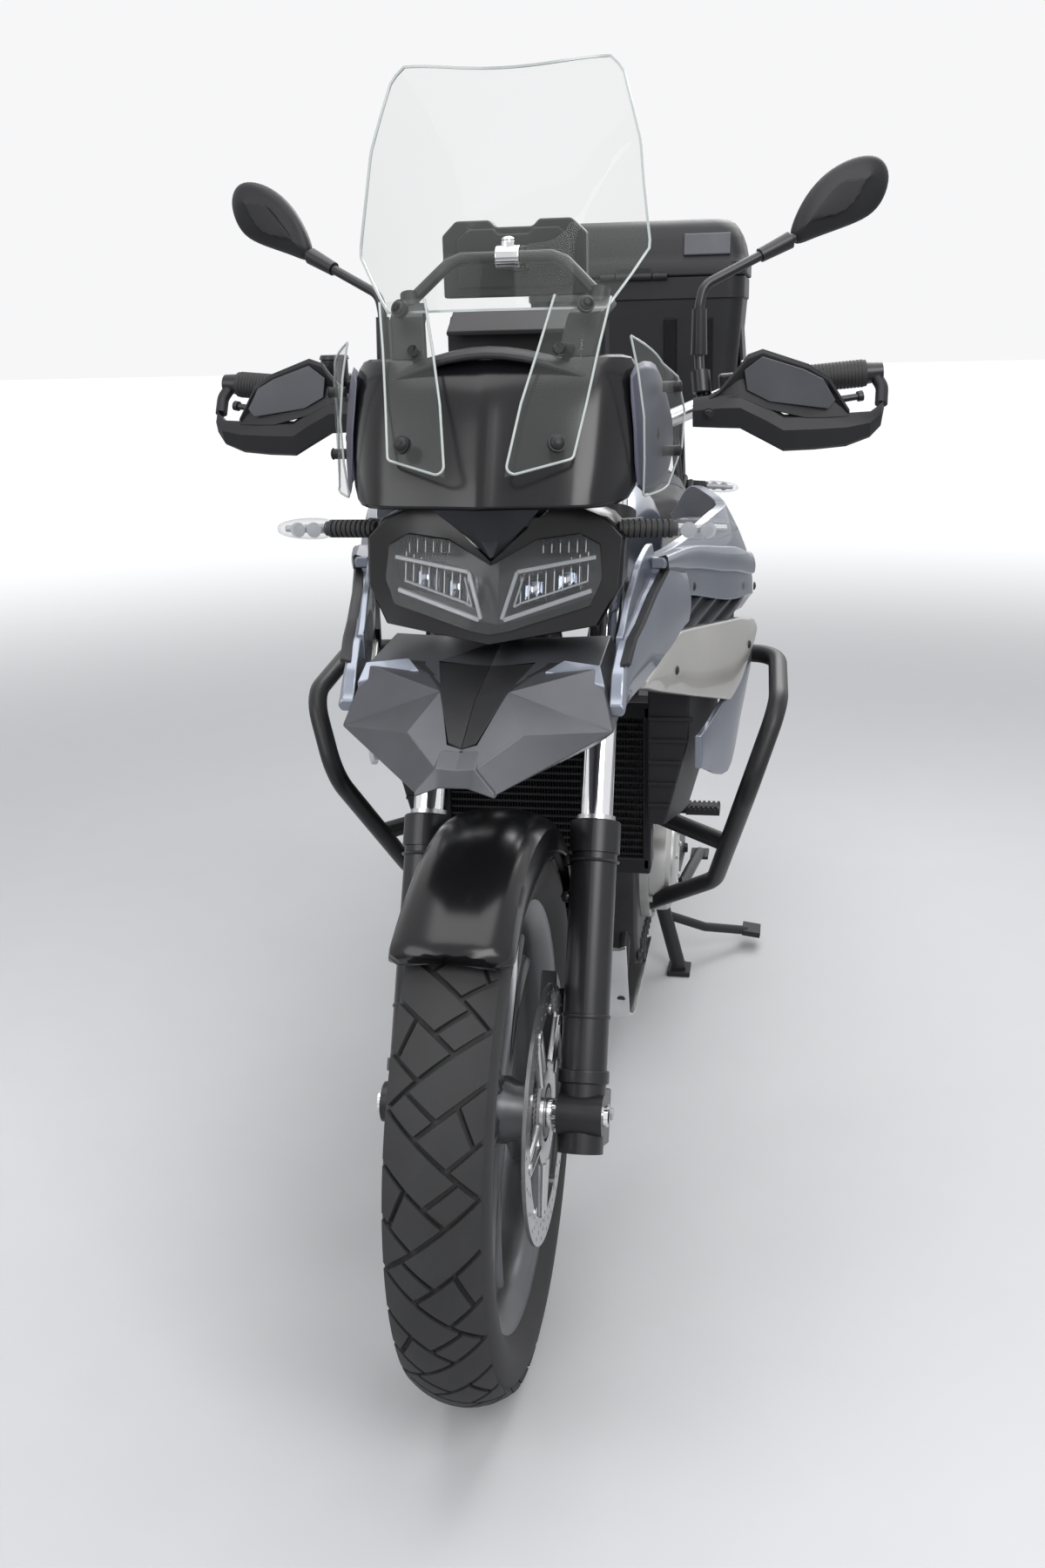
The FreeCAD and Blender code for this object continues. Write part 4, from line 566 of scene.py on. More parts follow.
def tyre(end, centre, outer, bead, half_width, rim_half):
    """Smooth carcass under diagonal tread blocks that meet in long herringbone grooves."""
    curve = 0.72 * 2 * half_width
    reach = asin((half_width - 2) / curve) * curve
    shoulder = outer - curve + (curve - GROOVE) * cos(reach / curve)
    profile = [((curve - GROOVE) * cos(a) + outer - curve, (curve - GROOVE) * sin(a))
               for a in (reach / curve * share for share in shares(8))]
    profile += [(bead + share * (shoulder - bead), half_width * wide) for share, wide in
                ((0.86, 0.985), (0.68, 1.0), (0.52, 0.985), (0.36, 0.91), (0.20, 0.78), (0.08, 0.68))]
    profile += [(bead, rim_half - 8)]
    period = 2 * pi * outer / PERIODS
    slope = period / (4 * REACH * reach)
    third = 2 * REACH * reach / 3

    def groove(base, height):
        """A groove's line from inside the tread to its edge."""
        start = base + slope * (reach + height)
        return Vector((start, height)), Vector((start - slope * (reach - height), reach))

    with piece(end + "_tyre_tread", "tyre", (end + "_tyre",), end + "_wheel", angle=38) as bm:
        lathe(bm, centre, ACROSS, profile + [(r, -y) for r, y in reversed(profile)], 144)
        for side in (1, -1):
            for turn in range(PERIODS):
                base = (turn + (0.5 if side < 0 else 0)) * period
                for strip, cuts in enumerate(STRIP_CUTS):
                    low = -REACH * reach + third * strip
                    lower, upper = groove(base, low), groove(base, low + third)
                    marks = [(0.0, 0.0)] + [(cut - 0.05, cut + 0.05) for cut in cuts] + [(1.0, 1.0)]
                    for (a0, a1), (b0, b1) in zip(marks, marks[1:]):
                        corners = (lower[0].lerp(lower[1], a0), lower[0].lerp(lower[1], b0),
                                   upper[0].lerp(upper[1], b1), upper[0].lerp(upper[1], a1))
                        tread_block(bm, [(p.x, side * p.y) for p in corners], outer, curve, centre)


def cast_wheel(end, centre, bead, rim_half, hub_half):
    """Barrel with rounded lips, hub, and five pairs of curved spokes."""
    half = [(bead - 18, 0), (bead - 18, rim_half * 0.45), (bead - 12, rim_half * 0.72), (bead - 4, rim_half * 0.9),
            (bead + 9, rim_half + 0.5), (bead + 13, rim_half), (bead + 13.6, rim_half - 2.2),
            (bead + 12, rim_half - 4), (bead + 1, rim_half - 7), (bead - 1, rim_half - 10), (bead - 6, rim_half - 22),
            (bead - 8, 0)]
    hub = [(13, hub_half), (29, hub_half), (33, hub_half - 4), (34, 30), (40, 18)]
    tip, root = bead - 14, 34
    with piece(end + "_wheel_cast", "wheel_silver", (end + "_rim",), end + "_wheel", angle=40) as bm:
        lathe(bm, centre, ACROSS, half + [(r, -y) for r, y in reversed(half[1:-1])], 128)
        lathe(bm, centre, ACROSS, hub + [(r, -y) for r, y in reversed(hub)], 64)
        for turn in turns(5):
            for side in (1, -1):
                rows = []
                for share in shares(10):
                    radius = root + (tip - root) * share
                    aside = side * (5 + 27 * share ** 1.6)
                    wide = 9.5 - 5.5 * sin(pi * min(1, share * 1.05)) + 3.5 * share ** 6
                    deep = 17 - 5 * sin(pi * share * 0.9)
                    row = []
                    for c, s in (squarish(a, 0.8, 0.6) for a in turns(12)):
                        row.append(centre + (spoke(turn) * radius + spoke(turn + pi / 2) * (aside + wide * c) +
                                             ACROSS * (deep * s)) * MM)
                    rows.append(row)
                skin(bm, rows)


def carve(bm, cutter):
    """Takes the cutter's solids out of a mesh."""
    parts = []
    for source in (bm, cutter):
        bmesh.ops.recalc_face_normals(source, faces=source.faces)
        parts.append(new_object("carving", new_mesh("carving", source)))
    change = parts[0].modifiers.new("cut", "BOOLEAN")
    change.operation = "DIFFERENCE"
    change.object = parts[1]
    change.solver = "EXACT"
    change.use_self = True
    result = bmesh.new()
    result.from_mesh(parts[0].evaluated_get(bpy.context.evaluated_depsgraph_get()).to_mesh())
    for part in parts:
        mesh = part.data
        bpy.data.objects.remove(part)
        bpy.data.meshes.remove(mesh)
    return result


def brake_disc(name, node, body, hub, places, radius):
    """Drilled friction rings with buttons and a five-armed carrier."""
    inner = radius - DISC_WIDTH
    with piece(name, "disc_steel", (node,), body) as whole:
        for offset in places:
            centre = hub + ACROSS * (offset * MM)
            plain = bmesh.new()
            lathe(plain, centre, ACROSS, band(inner, radius, -2.2, 2.2))
            holes = bmesh.new()
            for index, angle in enumerate(turns(72)):
                middle = centre + spoke(angle) * ((inner + DISC_WIDTH * (0.24, 0.5, 0.76)[index % 3]) * MM)
                rod(holes, middle - ACROSS * (4 * MM), middle + ACROSS * (4 * MM), 2.6, sides=10)
            ring = new_mesh("ring", carve(plain, holes))
            whole.from_mesh(ring)
            bpy.data.meshes.remove(ring)
            lathe(whole, centre, ACROSS, band(34, 62, -2, 2), 64)
            for index, angle in enumerate(turns(10)):
                button = centre + spoke(angle) * ((inner + 2) * MM)
                rod(whole, button - ACROSS * (3.6 * MM), button + ACROSS * (3.6 * MM), 6.5)
                if index % 2:
                    continue
                for lean in (-1, 1):
                    tangent = spoke(angle).cross(ACROSS) * (lean * MM)
                    rod(whole, centre + spoke(angle) * (58 * MM) + tangent * 13, button + tangent * 9, 4.6, 3.6, 10)


def wheels():
    """Both wheels with their discs, and the front one's speed ring."""
    tyre("front", FRONT_HUB, FRONT_R, FRONT_BEAD, 55, 40)
    tyre("rear", REAR_HUB, REAR_R, REAR_BEAD, 75, 57)
    cast_wheel("front", FRONT_HUB, FRONT_BEAD, 40, 66.5)
    cast_wheel("rear", REAR_HUB, REAR_BEAD, 57, 75)
    brake_disc("front_disc_pair", "front_discs", "front_wheel", FRONT_HUB, (64, -64), 152.5)
    brake_disc("rear_disc_ring", "rear_disc", "rear_wheel", REAR_HUB, (-72,), 132.5)
    sensor = FRONT_HUB + ACROSS * (58 * MM)
    with piece("speed_ring", "disc_steel", body="front_wheel") as bm:
        for angle in turns(48):
            block(bm, sensor + spoke(angle) * (48 * MM), (5, 2, 3), Matrix.Rotation(-angle, 4, "Y"))
        lathe(bm, sensor, ACROSS, band(40, 46, -1, 1), 64)


# Fork


def mudguard():
    """Long front fender with a broad lip, deeper beside the fork legs."""
    rows = []
    inner = FRONT_R + 14
    for share in shares(26):
        e = radians(54 + 100 * share)
        skirt = -18 - 27 * sin(pi * min(1, share * 1.25)) ** 0.7 if share < 0.8 else -45 + 10 * share
        flare = 3 * max(0, 1 - share * 6)
        half = [(skirt, 62 + flare), (-6, 60 + flare), (5, 47), (11, 26), (13, 0)]
        outer = [(r + 3.6, y + (3.0 if r < 0 else 1.2)) for r, y in half]
        loop = half + [(r, -y) for r, y in reversed(half[:-1])]
        loop += (outer + [(r, -y) for r, y in reversed(outer[:-1])])[::-1]
        rows.append([FRONT_HUB + (spoke(e) * (inner + r) + ACROSS * y) * MM for r, y in loop])
    with piece("mudguard_shell", "satin_black", ("front_mudguard",), "steering", angle=50, smooth=1) as bm:
        skin(bm, rows)
        for side in (1, -1):
            for along in (258, 302):
                rod(bm, fork(along, side * 66, 42), fork(along, side * 80, 42), 8)


def fork_details():
    """Seal collars, clamp bands, pinch bolts and the square axle clamps."""
    with piece("leg_collars", "fork_black", body="steering", bevel=2.5) as bm:
        for low, high, r in ((338, 352, 30), (300, 304, 31.4), (36, 52, 31.2), (112, 118, 29.6)):
            rod(bm, fork(low, 105, 41.3), fork(high, 105, 41.3), r, sides=40)
        block(bm, fork(-4, 111, 2), (62, 42, 66), Matrix.Rotation(atan2(STEER.x, STEER.z), 4, "Y"))
        both(bm)
    with piece("leg_bolts", "disc_steel", body="steering") as bm:
        for z in (-22, 12):
            bolt(bm, fork(z, 112, 33), STEER_AHEAD, 5, 5)
        bolt(bm, fork(0, 132, -1.6), ACROSS, 9, 6)
        rod(bm, fork(352, 105, 41.3), fork(358, 105, 41.3), 24, sides=32)
        both(bm)


def calipers():
    """Four-piston calipers on the fork lugs, with bolts and a pad pin."""
    with piece("caliper_bodies", "fork_black", ("front_calipers",), "steering", bevel=2) as bm:
        body = [(56, -24), (170, -24), (160, -52), (146, -72), (96, -82), (70, -62)]
        bridge = [(80, -70), (150, -62), (146, -72), (96, -82)]
        for y, wide, outline in ((37, 20, body), (71, 20, body), (56, 16, bridge)):
            prism(bm, [fork(a, y, b) for a, b in outline], (0, wide, 0))
        for along in (88, 134):
            rod(bm, fork(along, 90, -48), fork(along, 94, -48), 14, sides=32)
        both(bm)
    with piece("caliper_bolts", "disc_steel", body="steering") as bm:
        for along, ahead in ((66, -34), (158, -34), (112, -70)):
            bolt(bm, fork(along, 91, ahead), ACROSS, 5, 5)
        both(bm)


# Beak and lamp

BEAK_LEFT = {
    "top": (-70, 0, 852), "inset_top": (-52, 55, 862), "outer_top": (-21, 130, 864), "tip_side": (20, 150, 804),
    "prong": (136, 40, 765), "notch": (128, 20, 790), "middle": (96, 0, 801), "ridge": (78, 62, 814),
    "inset_low": (92, 16, 806), "inset_side": (22, 40, 846), "back_top": (-148, 128, 874),
    "back_side": (-148, 152, 824), "back_low": (-148, 130, 794), "side_low": (-20, 130, 780),
    "prong_low": (118, 36, 760), "middle_low": (60, 0, 776), "back_mid": (-148, 0, 796), "back_high": (-148, 0, 868),
}
BEAK_FACES = (
    "inset_top outer_top tip_side ridge inset_side", "inset_side ridge notch inset_low", "ridge tip_side prong",
    "ridge prong notch", "outer_top back_top back_side tip_side", "tip_side back_side back_low side_low",
    "tip_side side_low prong_low prong", "prong prong_low notch", "side_low back_low back_mid middle_low",
    "side_low middle_low prong_low", "prong_low middle_low notch", "notch middle_low middle",
    "notch middle inset_low", "inset_top back_top outer_top", "inset_top back_high back_top",
    "inset_top top back_high", "back_high back_mid back_low back_side back_top",
)


def beak():
    """Two-pointed beak with a recessed middle in black plastic, whose darkness is partly painted shade under the lamp.
    """
    with piece("beak_shell", "dark_grey", ("beak",), angle=12, bevel=1.6) as bm:
        verts = {name: bm.verts.new(at(*spot)) for name, spot in BEAK_LEFT.items()}
        for face in BEAK_FACES:
            bm.faces.new([verts[name] for name in face.split()])
        both(bm)
        bmesh.ops.remove_doubles(bm, verts=bm.verts, dist=1e-5)
        bmesh.ops.triangulate(bm, faces=[f for f in bm.faces if len(f.verts) > 4])
    # Black plastic over the recessed middle: partly its own dark colour and partly painted shade that falls under the
    # lamp.
    with piece("beak_inset_and_shade", "black_plastic", angle=20, bevel=0.8) as bm:
        skin(bm, [[(x, y, z), (x0, 0, z0), (x0, 0, z0 - 9), (x, y, z - 9)] for x, y, z, x0, z0 in
                  ((-42, 86, 865, -72, 853), (-14, 58, 856, -26, 845), (22, 38, 848, 20, 836),
                   (90, 15, 808.5, 94, 803.5))])
        both(bm)
    with piece("beak_wings", "silver_paint", angle=20, bevel=1.5) as bm:
        prism(bm, [(-46, 88, 866.5), (-21, 131, 867.5), (-5, 138, 847.5), (-16, 100, 855.5), (-18, 70, 859.5)],
              (0, 0, -9))
        both(bm)
    with piece("beak_notch", "dark_grey", angle=12, bevel=1.5) as bm:
        rows = [[(x, y, z) for x, z in line] for y, line in (
            (42, ((128, 770), (136, 768), (137, 763), (121, 761))),
            (21, ((102, 803), (129, 791), (139, 771), (114, 767))),
            (15, ((100, 803), (128, 791), (139.5, 773.5), (114, 769))),
            (0, ((99, 801), (127, 789), (139, 773.5), (114, 769))))]
        skin(bm, rows + other_side(rows[:-1]))
    with piece("beak_screws", "frame_black") as bm:
        dome(bm, (-128, 141, 849), (0, 1, 0.35), 5.5, 2.5)
        both(bm)


LAMP = ((0, 878), (122, 898), (146, 940), (149, 994), (130, 1014), (100, 1027), (68, 1027), (0, 968))
LENS = ((0, 890), (24, 894), (112, 920), (124, 948), (121, 984), (98, 996), (50, 990), (0, 963))


def lamp_place(y, z, back=0.0):
    """A place on the lamp's swept and leaning front."""
    return at(-58 - 0.32 * (z - 875) - 0.10 * abs(y) - back, y, z)


def lamp_box(bm, y, z, wide, high, rows):
    """Stacked four-sided rings behind the lens, each given by its depth and its share of the size."""
    skin(bm, [[lamp_place(y + dy * wide * grow / 2, z + dz * high * grow / 2 + dy * 2, back)
               for dy, dz in ((-1, -1), (1, -1), (1, 1), (-1, 1))] for back, grow in rows])


def light_bar(bm, line, back, wide, deep):
    """A moulded bar behind the lens, from its middle line."""
    for (y0, z0), (y1, z1) in zip(line, line[1:]):
        span = hypot(y1 - y0, z1 - z0)
        dy, dz = -(z1 - z0) / span * wide / 2, (y1 - y0) / span * wide / 2
        ring = [(y0 + dy, z0 + dz), (y1 + dy, z1 + dz), (y1 - dy, z1 - dz), (y0 - dy, z0 - dz)]
        prism(bm, [lamp_place(y, z, back) for y, z in ring], (-deep, 0, 0))


def lamp():
    """Bezel round a twin lens, with light bars, fins and modules in front of a dark back plate."""
    with piece("lamp_bezel", "satin_black", ("headlamp_housing",), angle=28, bevel=1.2) as bm:
        rows = []
        for ring, back in ((LAMP, 60), (LAMP, 6), (LAMP, 0), (LENS, 4), (LENS, 10), (LENS, 60)):
            scale = 0.975 if back == 0 else 1.0
            rows.append([lamp_place(y * scale, 953 + (z - 953) * scale, back) for y, z in ring])
        skin(bm, rows, closed=False)
        both(bm)
        bmesh.ops.remove_doubles(bm, verts=bm.verts, dist=1e-4)
    with piece("lamp_nose", "dark_grey", angle=30, bevel=2, segments=3) as bm:
        skin(bm, [[(x - 14, -wide, z - 4), (x - 8, -wide, z), (x, -wide * 0.4, z), (x, wide * 0.4, z),
                   (x - 8, wide, z), (x - 14, wide, z - 4)] for x, z, wide in
                  ((-50, 1035, 64), (-70, 1014, 44), (-85, 990, 20), (-90, 971, 4))])
    with piece("lamp_back", "black_plastic", angle=30) as bm:
        line = [(y, z) for y, z in LAMP] + [(-y, z) for y, z in reversed(LAMP[1:-1])]
        rows = [[lamp_place(y, z, 58) for y, z in line]]
        rows.append([at(min(-160, -128 - 0.32 * (z - 875)), y * 0.93, 950 + (z - 950) * 0.93) for y, z in line])
        rows.append([at(-171, y * 0.88, 950 + (z - 950) * 0.88) for y, z in line])
        skin(bm, rows)
    with piece("lamp_modules", "lamp_dark", angle=20, bevel=0.6) as bm:
        prism(bm, [lamp_place(y, z, 54) for y, z in LENS], (-3, 0, 0))
        for size in ((44, 932, 30, 28), (82, 942, 32, 28), (78, 980, 56, 14)):
            lamp_box(bm, *size, ((53, 0.8), (34, 1.0), (33, 0.84), (50, 0.5)))
        both(bm)
    with piece("lamp_reflectors", "reflector", angle=20) as bm:
        for size in ((44, 932, 22, 20), (82, 942, 23, 20)):
            lamp_box(bm, *size, ((48, 0.5), (44, 0.62), (36, 0.95), (35, 0.9), (42, 0.5), (46, 0.3)))
        for y in (30 + index * 9.4 for index in range(9)):
            low = 905 + (y - 14) * 0.316
            prism(bm, [lamp_place(y, z, back) for z, back in
                       ((low + 6, 24), (low + 40, 24), (low + 38, 50), (low + 8, 50))], (0, 1.2, 0))
        for y in (54 + index * 9.6 for index in range(6)):
            prism(bm, [lamp_place(y, z, back) for z, back in ((973, 26), (988, 26), (987, 48), (974, 48))], (0, 1, 0))
        both(bm)
    with piece("lamp_bars", "led", angle=20, bevel=1.0) as bm:
        for line, back, wide, deep in ((((14, 903), (112, 934)), 12, 5, 7), (((32, 920), (106, 943)), 18, 2.4, 5),
                                       (((116, 970), (28, 955)), 10, 4.5, 7), (((28, 955), (12, 904)), 11, 4.5, 6),
                                       (((34, 948), (24, 916), (32, 920)), 18, 2.4, 5)):
            light_bar(bm, line, back, wide, deep)
        both(bm)
    with piece("lamp_glass", "clear_lens", ("headlamp_lens",), angle=30) as bm:
        skin(bm, [[lamp_place(y, z, back) for y, z in LENS] for back in (1, 3)])
        both(bm)


# Screen and cowl

SCREEN_ROWS = ((1150, -70, 76), (1200, -92, 92), (1236, -112, 124), (1270, -120, 148), (1300, -128, 167),
               (1330, -143, 163), (1370, -164, 158), (1410, -186, 154), (1450, -211, 143), (1488, -236, 132),
               (1503, -246, 116))
SCREEN_SWEEP = 84.0


def between(rows, z):
    """The row's values at a first value, on straight lines between the rows."""
    for a, b in zip(rows, rows[1:]):
        share = (z - a[0]) / (b[0] - a[0])
        if share <= 1:
            break
    return [p + (q - p) * share for p, q in zip(a, b)]


def screen_place(y, z):
    """The screen's face: swept back towards its sides."""
    bow = 1 - 0.65 * max(0, min(1, (z - 1300) / 200))
    return at(between(SCREEN_ROWS, z)[1] - SCREEN_SWEEP * bow * (abs(y) / 167) ** 1.7, y, z)


def bridged(first, second, bulge=(0, 0, 0)):
    """Rows of seven places across from one line to another, bulging between them."""
    rows = []
    for a, b in zip(first, second):
        a, b = Vector(a), Vector(b)
        rows.append([at(*(a.lerp(b, t) + Vector(bulge) * sin(pi * t))) for t in shares(6)])
    return rows


def screen():
    """Tall clear screen with flared sides, cut corners and a dip in its top edge, on two clear legs."""
    rows = []
    for share in shares(30):
        z = 1236 + (1501.6 - 1236) * share
        half = between(SCREEN_ROWS, z)[2]
        dip = 10 * max(0, (z - 1470) / 33)
        rows.append([screen_place(half * t, z - dip * (1 - t * t) ** 2) for t in (i / 12 - 1 for i in range(25))])
    with piece("screen_sheet", "clear_screen", ("windscreen",), angle=60) as bm:
        skin(bm, rows, closed=False)
    # The rim's pale colour is a painted highlight along the screen's edge.
    with piece("screen_rim", "screen_edge", angle=50) as bm:
        line = rows[0] + [row[-1] for row in rows[1:]] + rows[-1][-2::-1] + [row[0] for row in rows[-2:0:-1]]
        loop = []
        for before, p, after in zip(line[-1:] + line, line, line[1:] + line[:1]):
            side = (after - before).normalized().cross(AHEAD).normalized() * 1.3
            loop.append([p + (side * turn + AHEAD * ahead) * MM for turn, ahead in
                         ((1, 1.3), (-1, 1.3), (-1, -2.2), (1, -2.2))])
        skin(bm, loop + loop[:1], caps=False)
    outer = [(-150, 130, 1247), (-118, 120, 1195), (-84, 111, 1140), (-44, 101, 1084)]
    inner = [(-124, 72, 1250), (-94, 58, 1195), (-58, 44, 1140), (-14, 32, 1068)]
    with piece("screen_legs", "clear_screen", angle=60) as bm:
        skin(bm, bridged(outer, inner, (4, 0, 0)), closed=False)
        both(bm)
    # Painted highlight along the legs' edges.
    with piece("screen_leg_edges", "screen_edge", angle=60) as bm:
        tube(bm, outer + inner[::-1], 1.5, bend=8, sides=8)
        both(bm)
    with piece("screen_bolts", "black_plastic") as bm:
        out = Vector((1, 0.35, 0.35)).normalized()
        for spot in (at(-138, 104, 1240), at(-44, 84, 1100)):
            rod(bm, spot - out * (4 * MM), spot + out * (3 * MM), 9.5, sides=28)
            dome(bm, spot + out * (3 * MM), out, 8, 4.5)
            rod(bm, spot + out * (6 * MM), spot + out * (8 * MM), 3.0, sides=6)
        both(bm)
    with piece("screen_arms", "black_plastic", angle=30, bevel=2) as bm:
        skin(bm, [[(x, y + dy, z + dz) for dy, dz in ((-22, -3), (22, -3), (18, 6), (-18, 6))] for x, y, z in
                  ((-66, 80, 1090), (-108, 88, 1150), (-156, 101, 1226), (-206, 109, 1241))])
        both(bm)


def cowl():
    """Gloss black hood with an arched ridge and dark side cheeks."""
    with piece("cowl_hood", "satin_black", ("front_cowl",), angle=60, smooth=1) as bm:
        rows = []
        corner = 0.86
        for z, nose, front, front_y, side, side_y in (
                (1030, -30, -46, 138, -110, 158), (1064, -44, -58, 142, -122, 165),
                (1100, -60, -76, 144, -130, 166), (1135, -74, -92, 145, -142, 166),
                (1165, -90, -108, 145, -150, 164), (1188, -110, -122, 138, -158, 156)):
            row = []
            for y in (-1, -0.8, -0.6, -0.4, -0.2, -0.08, 0, 0.08, 0.2, 0.4, 0.6, 0.8, 1):
                share = abs(y)
                if share > corner:
                    x = front + (side - front) * (share - corner) / (1 - corner)
                else:
                    x = nose + (front - nose) * (share / corner) ** 2
                bump = 7 * max(0, 1 - share / 0.12) if z < 1180 else 0
                row.append((x + bump, y * side_y if share > corner else y / corner * front_y, z))
            rows.append(row)
        skin(bm, rows, closed=False)
        thicken(bm, (-5, 0, 0))
    with piece("cowl_ridge", "black_plastic", angle=40, bevel=1, smooth=1) as bm:
        skin(bm, [[(x + dx, y, z + dz) for dx, dz in ((0, -6), (5, 0), (-2, 8), (-26, 12), (-26, 4))] for x, y, z in
                  ((-112, -142, 1148), (-100, -92, 1172), (-92, -40, 1186), (-90, 0, 1190), (-92, 40, 1186),
                   (-100, 92, 1172), (-112, 142, 1148))])
    with piece("cowl_cheeks", "violet_grey", angle=40, smooth=1) as bm:
        skin(bm, (((-118, 150, 1176), (-112, 162, 1110), (-98, 160, 1032)),
                  ((-150, 168, 1184), (-150, 182, 1112), (-150, 182, 1034)),
                  ((-200, 178, 1178), (-205, 190, 1114), (-208, 190, 1046)),
                  ((-246, 176, 1160), (-266, 194, 1110), (-262, 190, 1062))), closed=False)
        thicken(bm, (0, -5, 0))
        both(bm)


def deflectors():
    """Small clear side blades on two studs."""
    rows = bridged([(-104, 156, 1206), (-104, 164, 1168), (-106, 170, 1122), (-110, 170, 1076), (-118, 168, 1036)],
                   [(-150, 186, 1176), (-190, 200, 1160), (-216, 206, 1122), (-206, 204, 1082), (-160, 192, 1044)],
                   (0, 5, 0))
    with piece("deflector_blades", "clear_screen", ("wind_deflectors",), angle=60) as bm:
        skin(bm, rows, closed=False)
        both(bm)
    # Painted highlight along the blades' edges.
    with piece("deflector_rims", "screen_edge", angle=60) as bm:
        edge = rows[0] + [row[-1] for row in rows[1:]] + rows[-1][-2::-1] + [row[0] for row in rows[-2::-1]]
        tube(bm, edge, 1.3, bend=5, sides=8)
        both(bm)
    with piece("deflector_studs", "black_plastic") as bm:
        for z in (1080, 1150):
            cross_rod(bm, -180, 184, 203, z, 6)
            dome(bm, (-180, 203, z), ACROSS, 7, 3)
        both(bm)


# Handlebar and what it carries

BAR_MIDDLE = fork(836.6, 0, 37)


def on_bar(x, y, z):
    """A place in millimetres from the handlebar's middle."""
    return BAR_MIDDLE + Vector((x, y, z)) * MM


BAR_END = on_bar(-65, 428, 86)
BAR_ALONG = (on_bar(-44, 275, 74) - BAR_END).normalized()


def grip_spot(far):
    """A place on the left grip's line, in millimetres from the bar's end inwards."""
    return BAR_END + BAR_ALONG * (far * MM)


def handguards():
    """Guards round the hands with raised shields, and the weights at the bar's ends."""
    with piece("guard_bars", "black_plastic", ("handguards",), "steering", angle=24, bevel=1.6) as bm:
        rows = []
        for y, x, high, low in ((206, -364, 1128, 1093), (240, -369, 1133, 1091), (264, -372, 1134, 1090),
                                (296, -376, 1119, 1073), (318, -380, 1106, 1061), (356, -386, 1106, 1062),
                                (395, -394, 1106, 1065), (424, -403, 1107, 1075), (438, -418, 1116, 1088),
                                (442, -438, 1127, 1106)):
            rows.append([(x + dx, y, z) for dx, z in
                         ((-18, high - 3), (-5, high), (-1, high - 4), (4, high - 0.42 * (high - low)), (-1, low + 3),
                          (-6, low), (-17, low + 4), (-20, (high + low) / 2))])
        skin(bm, rows)
        tube(bm, [(-436, 438, 1114), (-450, 439, 1134), BAR_END], 8, bend=20)
        both(bm)
    rim = ((226, -370, 1131), (238, -372, 1138), (264, -374, 1168), (272, -376, 1179), (290, -378, 1185),
           (346, -386, 1166), (370, -390, 1152), (398, -397, 1110))
    foot = ((226, -370, 1122), (238, -371, 1126), (258, -373, 1128), (272, -375, 1124), (296, -378, 1113),
            (346, -386, 1101), (370, -390, 1101), (398, -397, 1102))
    with piece("guard_shields", "black_plastic", body="steering", angle=22, bevel=1.2) as bm:
        skin(bm, [[(x0 - 9, y0, z0 - 2), (x0, y0, z0), (x0 + 3, y0, z0 - 5),
                   ((x0 + x1) / 2 - 3, (y0 + y1) / 2, (z0 + z1) / 2), (x1 + 2, y1, z1), (x1 - 9, y1, z1)]
                  for (y0, x0, z0), (y1, x1, z1) in zip(rim, foot)])
        both(bm)
    with piece("guard_facets", "dark_grey", body="steering", angle=22, bevel=1.0) as bm:
        prism(bm, [(-373 - 0.11 * (y - 260), y, z) for y, z in
                   ((268, 1160), (290, 1176), (340, 1160), (364, 1148), (380, 1122), (372, 1112), (300, 1122),
                    (272, 1136))], (2.4, 0, 0))
        both(bm)
    with piece("bar_ends", "fork_black", body="steering", bevel=1) as bm:
        bolt(bm, (-362, 226, 1110), AHEAD, 5, 5)
        end = on_bar(-65, 430, 86)
        along = Vector((-0.13, 0.98, 0.07)).normalized() * MM
        rod(bm, end - along * 24, end + along * 9, 15, 12, 28)
        both(bm)


MIRROR_EDGE = ((316, 1316), (320, 1336), (335, 1368), (360, 1396), (390, 1412), (416, 1417), (434, 1411), (444, 1391),
               (437, 1362), (420, 1341), (384, 1328), (346, 1316), (326, 1307))


def mirror_ring(scale, ahead, pull=0.0):
    """The mirror's outline at a scale and depth; the pull draws it towards the crease over its back."""
    middle_y, middle_z = [sum(values) / len(values) for values in zip(*MIRROR_EDGE)]
    points = []
    for y, z in MIRROR_EDGE:
        crease = ((z - middle_z) - (y - middle_y) * 0.72) * pull
        wide = middle_y + (y - middle_y) * scale + crease * 0.5
        points.append((-504 - 0.3 * (wide - 316) + ahead, wide, middle_z + (z - middle_z) * scale - crease * 0.8))
    return points


def mirrors():
    """Creased mirror heads on bent stalks."""
    with piece("mirror_heads", "black_plastic", ("mirrors",), "steering", angle=60, smooth=2) as bm:
        skin(bm, [mirror_ring(*values) for values in
                  ((0.90, -16), (0.985, -13), (1.0, -4), (0.9, 6), (0.6, 13, 0.55), (0.45, 15, 0.98))])
        both(bm)
    with piece("mirror_glasses", "mirror_glass", body="steering", angle=30) as bm:
        prism(bm, mirror_ring(0.9, -16.4), (-0.6, 0, 0))
        both(bm)
    with piece("mirror_stalks", "fork_black", body="steering", angle=40) as bm:
        tube(bm, [on_bar(-27, 214, 40), (-449, 208, 1175), (-449, 208, 1238), (-454, 213, 1262), (-484, 279, 1295),
                  (-508, 324, 1318)], 6.2, bend=26)
        rod(bm, (-449, 208, 1178), (-449, 208, 1234), 10.5, 9, 28)
        rod(bm, (-486, 282, 1297), (-504, 318, 1315), 9, 11, 24)
        rod(bm, on_bar(-27, 214, 66), on_bar(-34, 211, 92), 12, sides=28)
        both(bm)


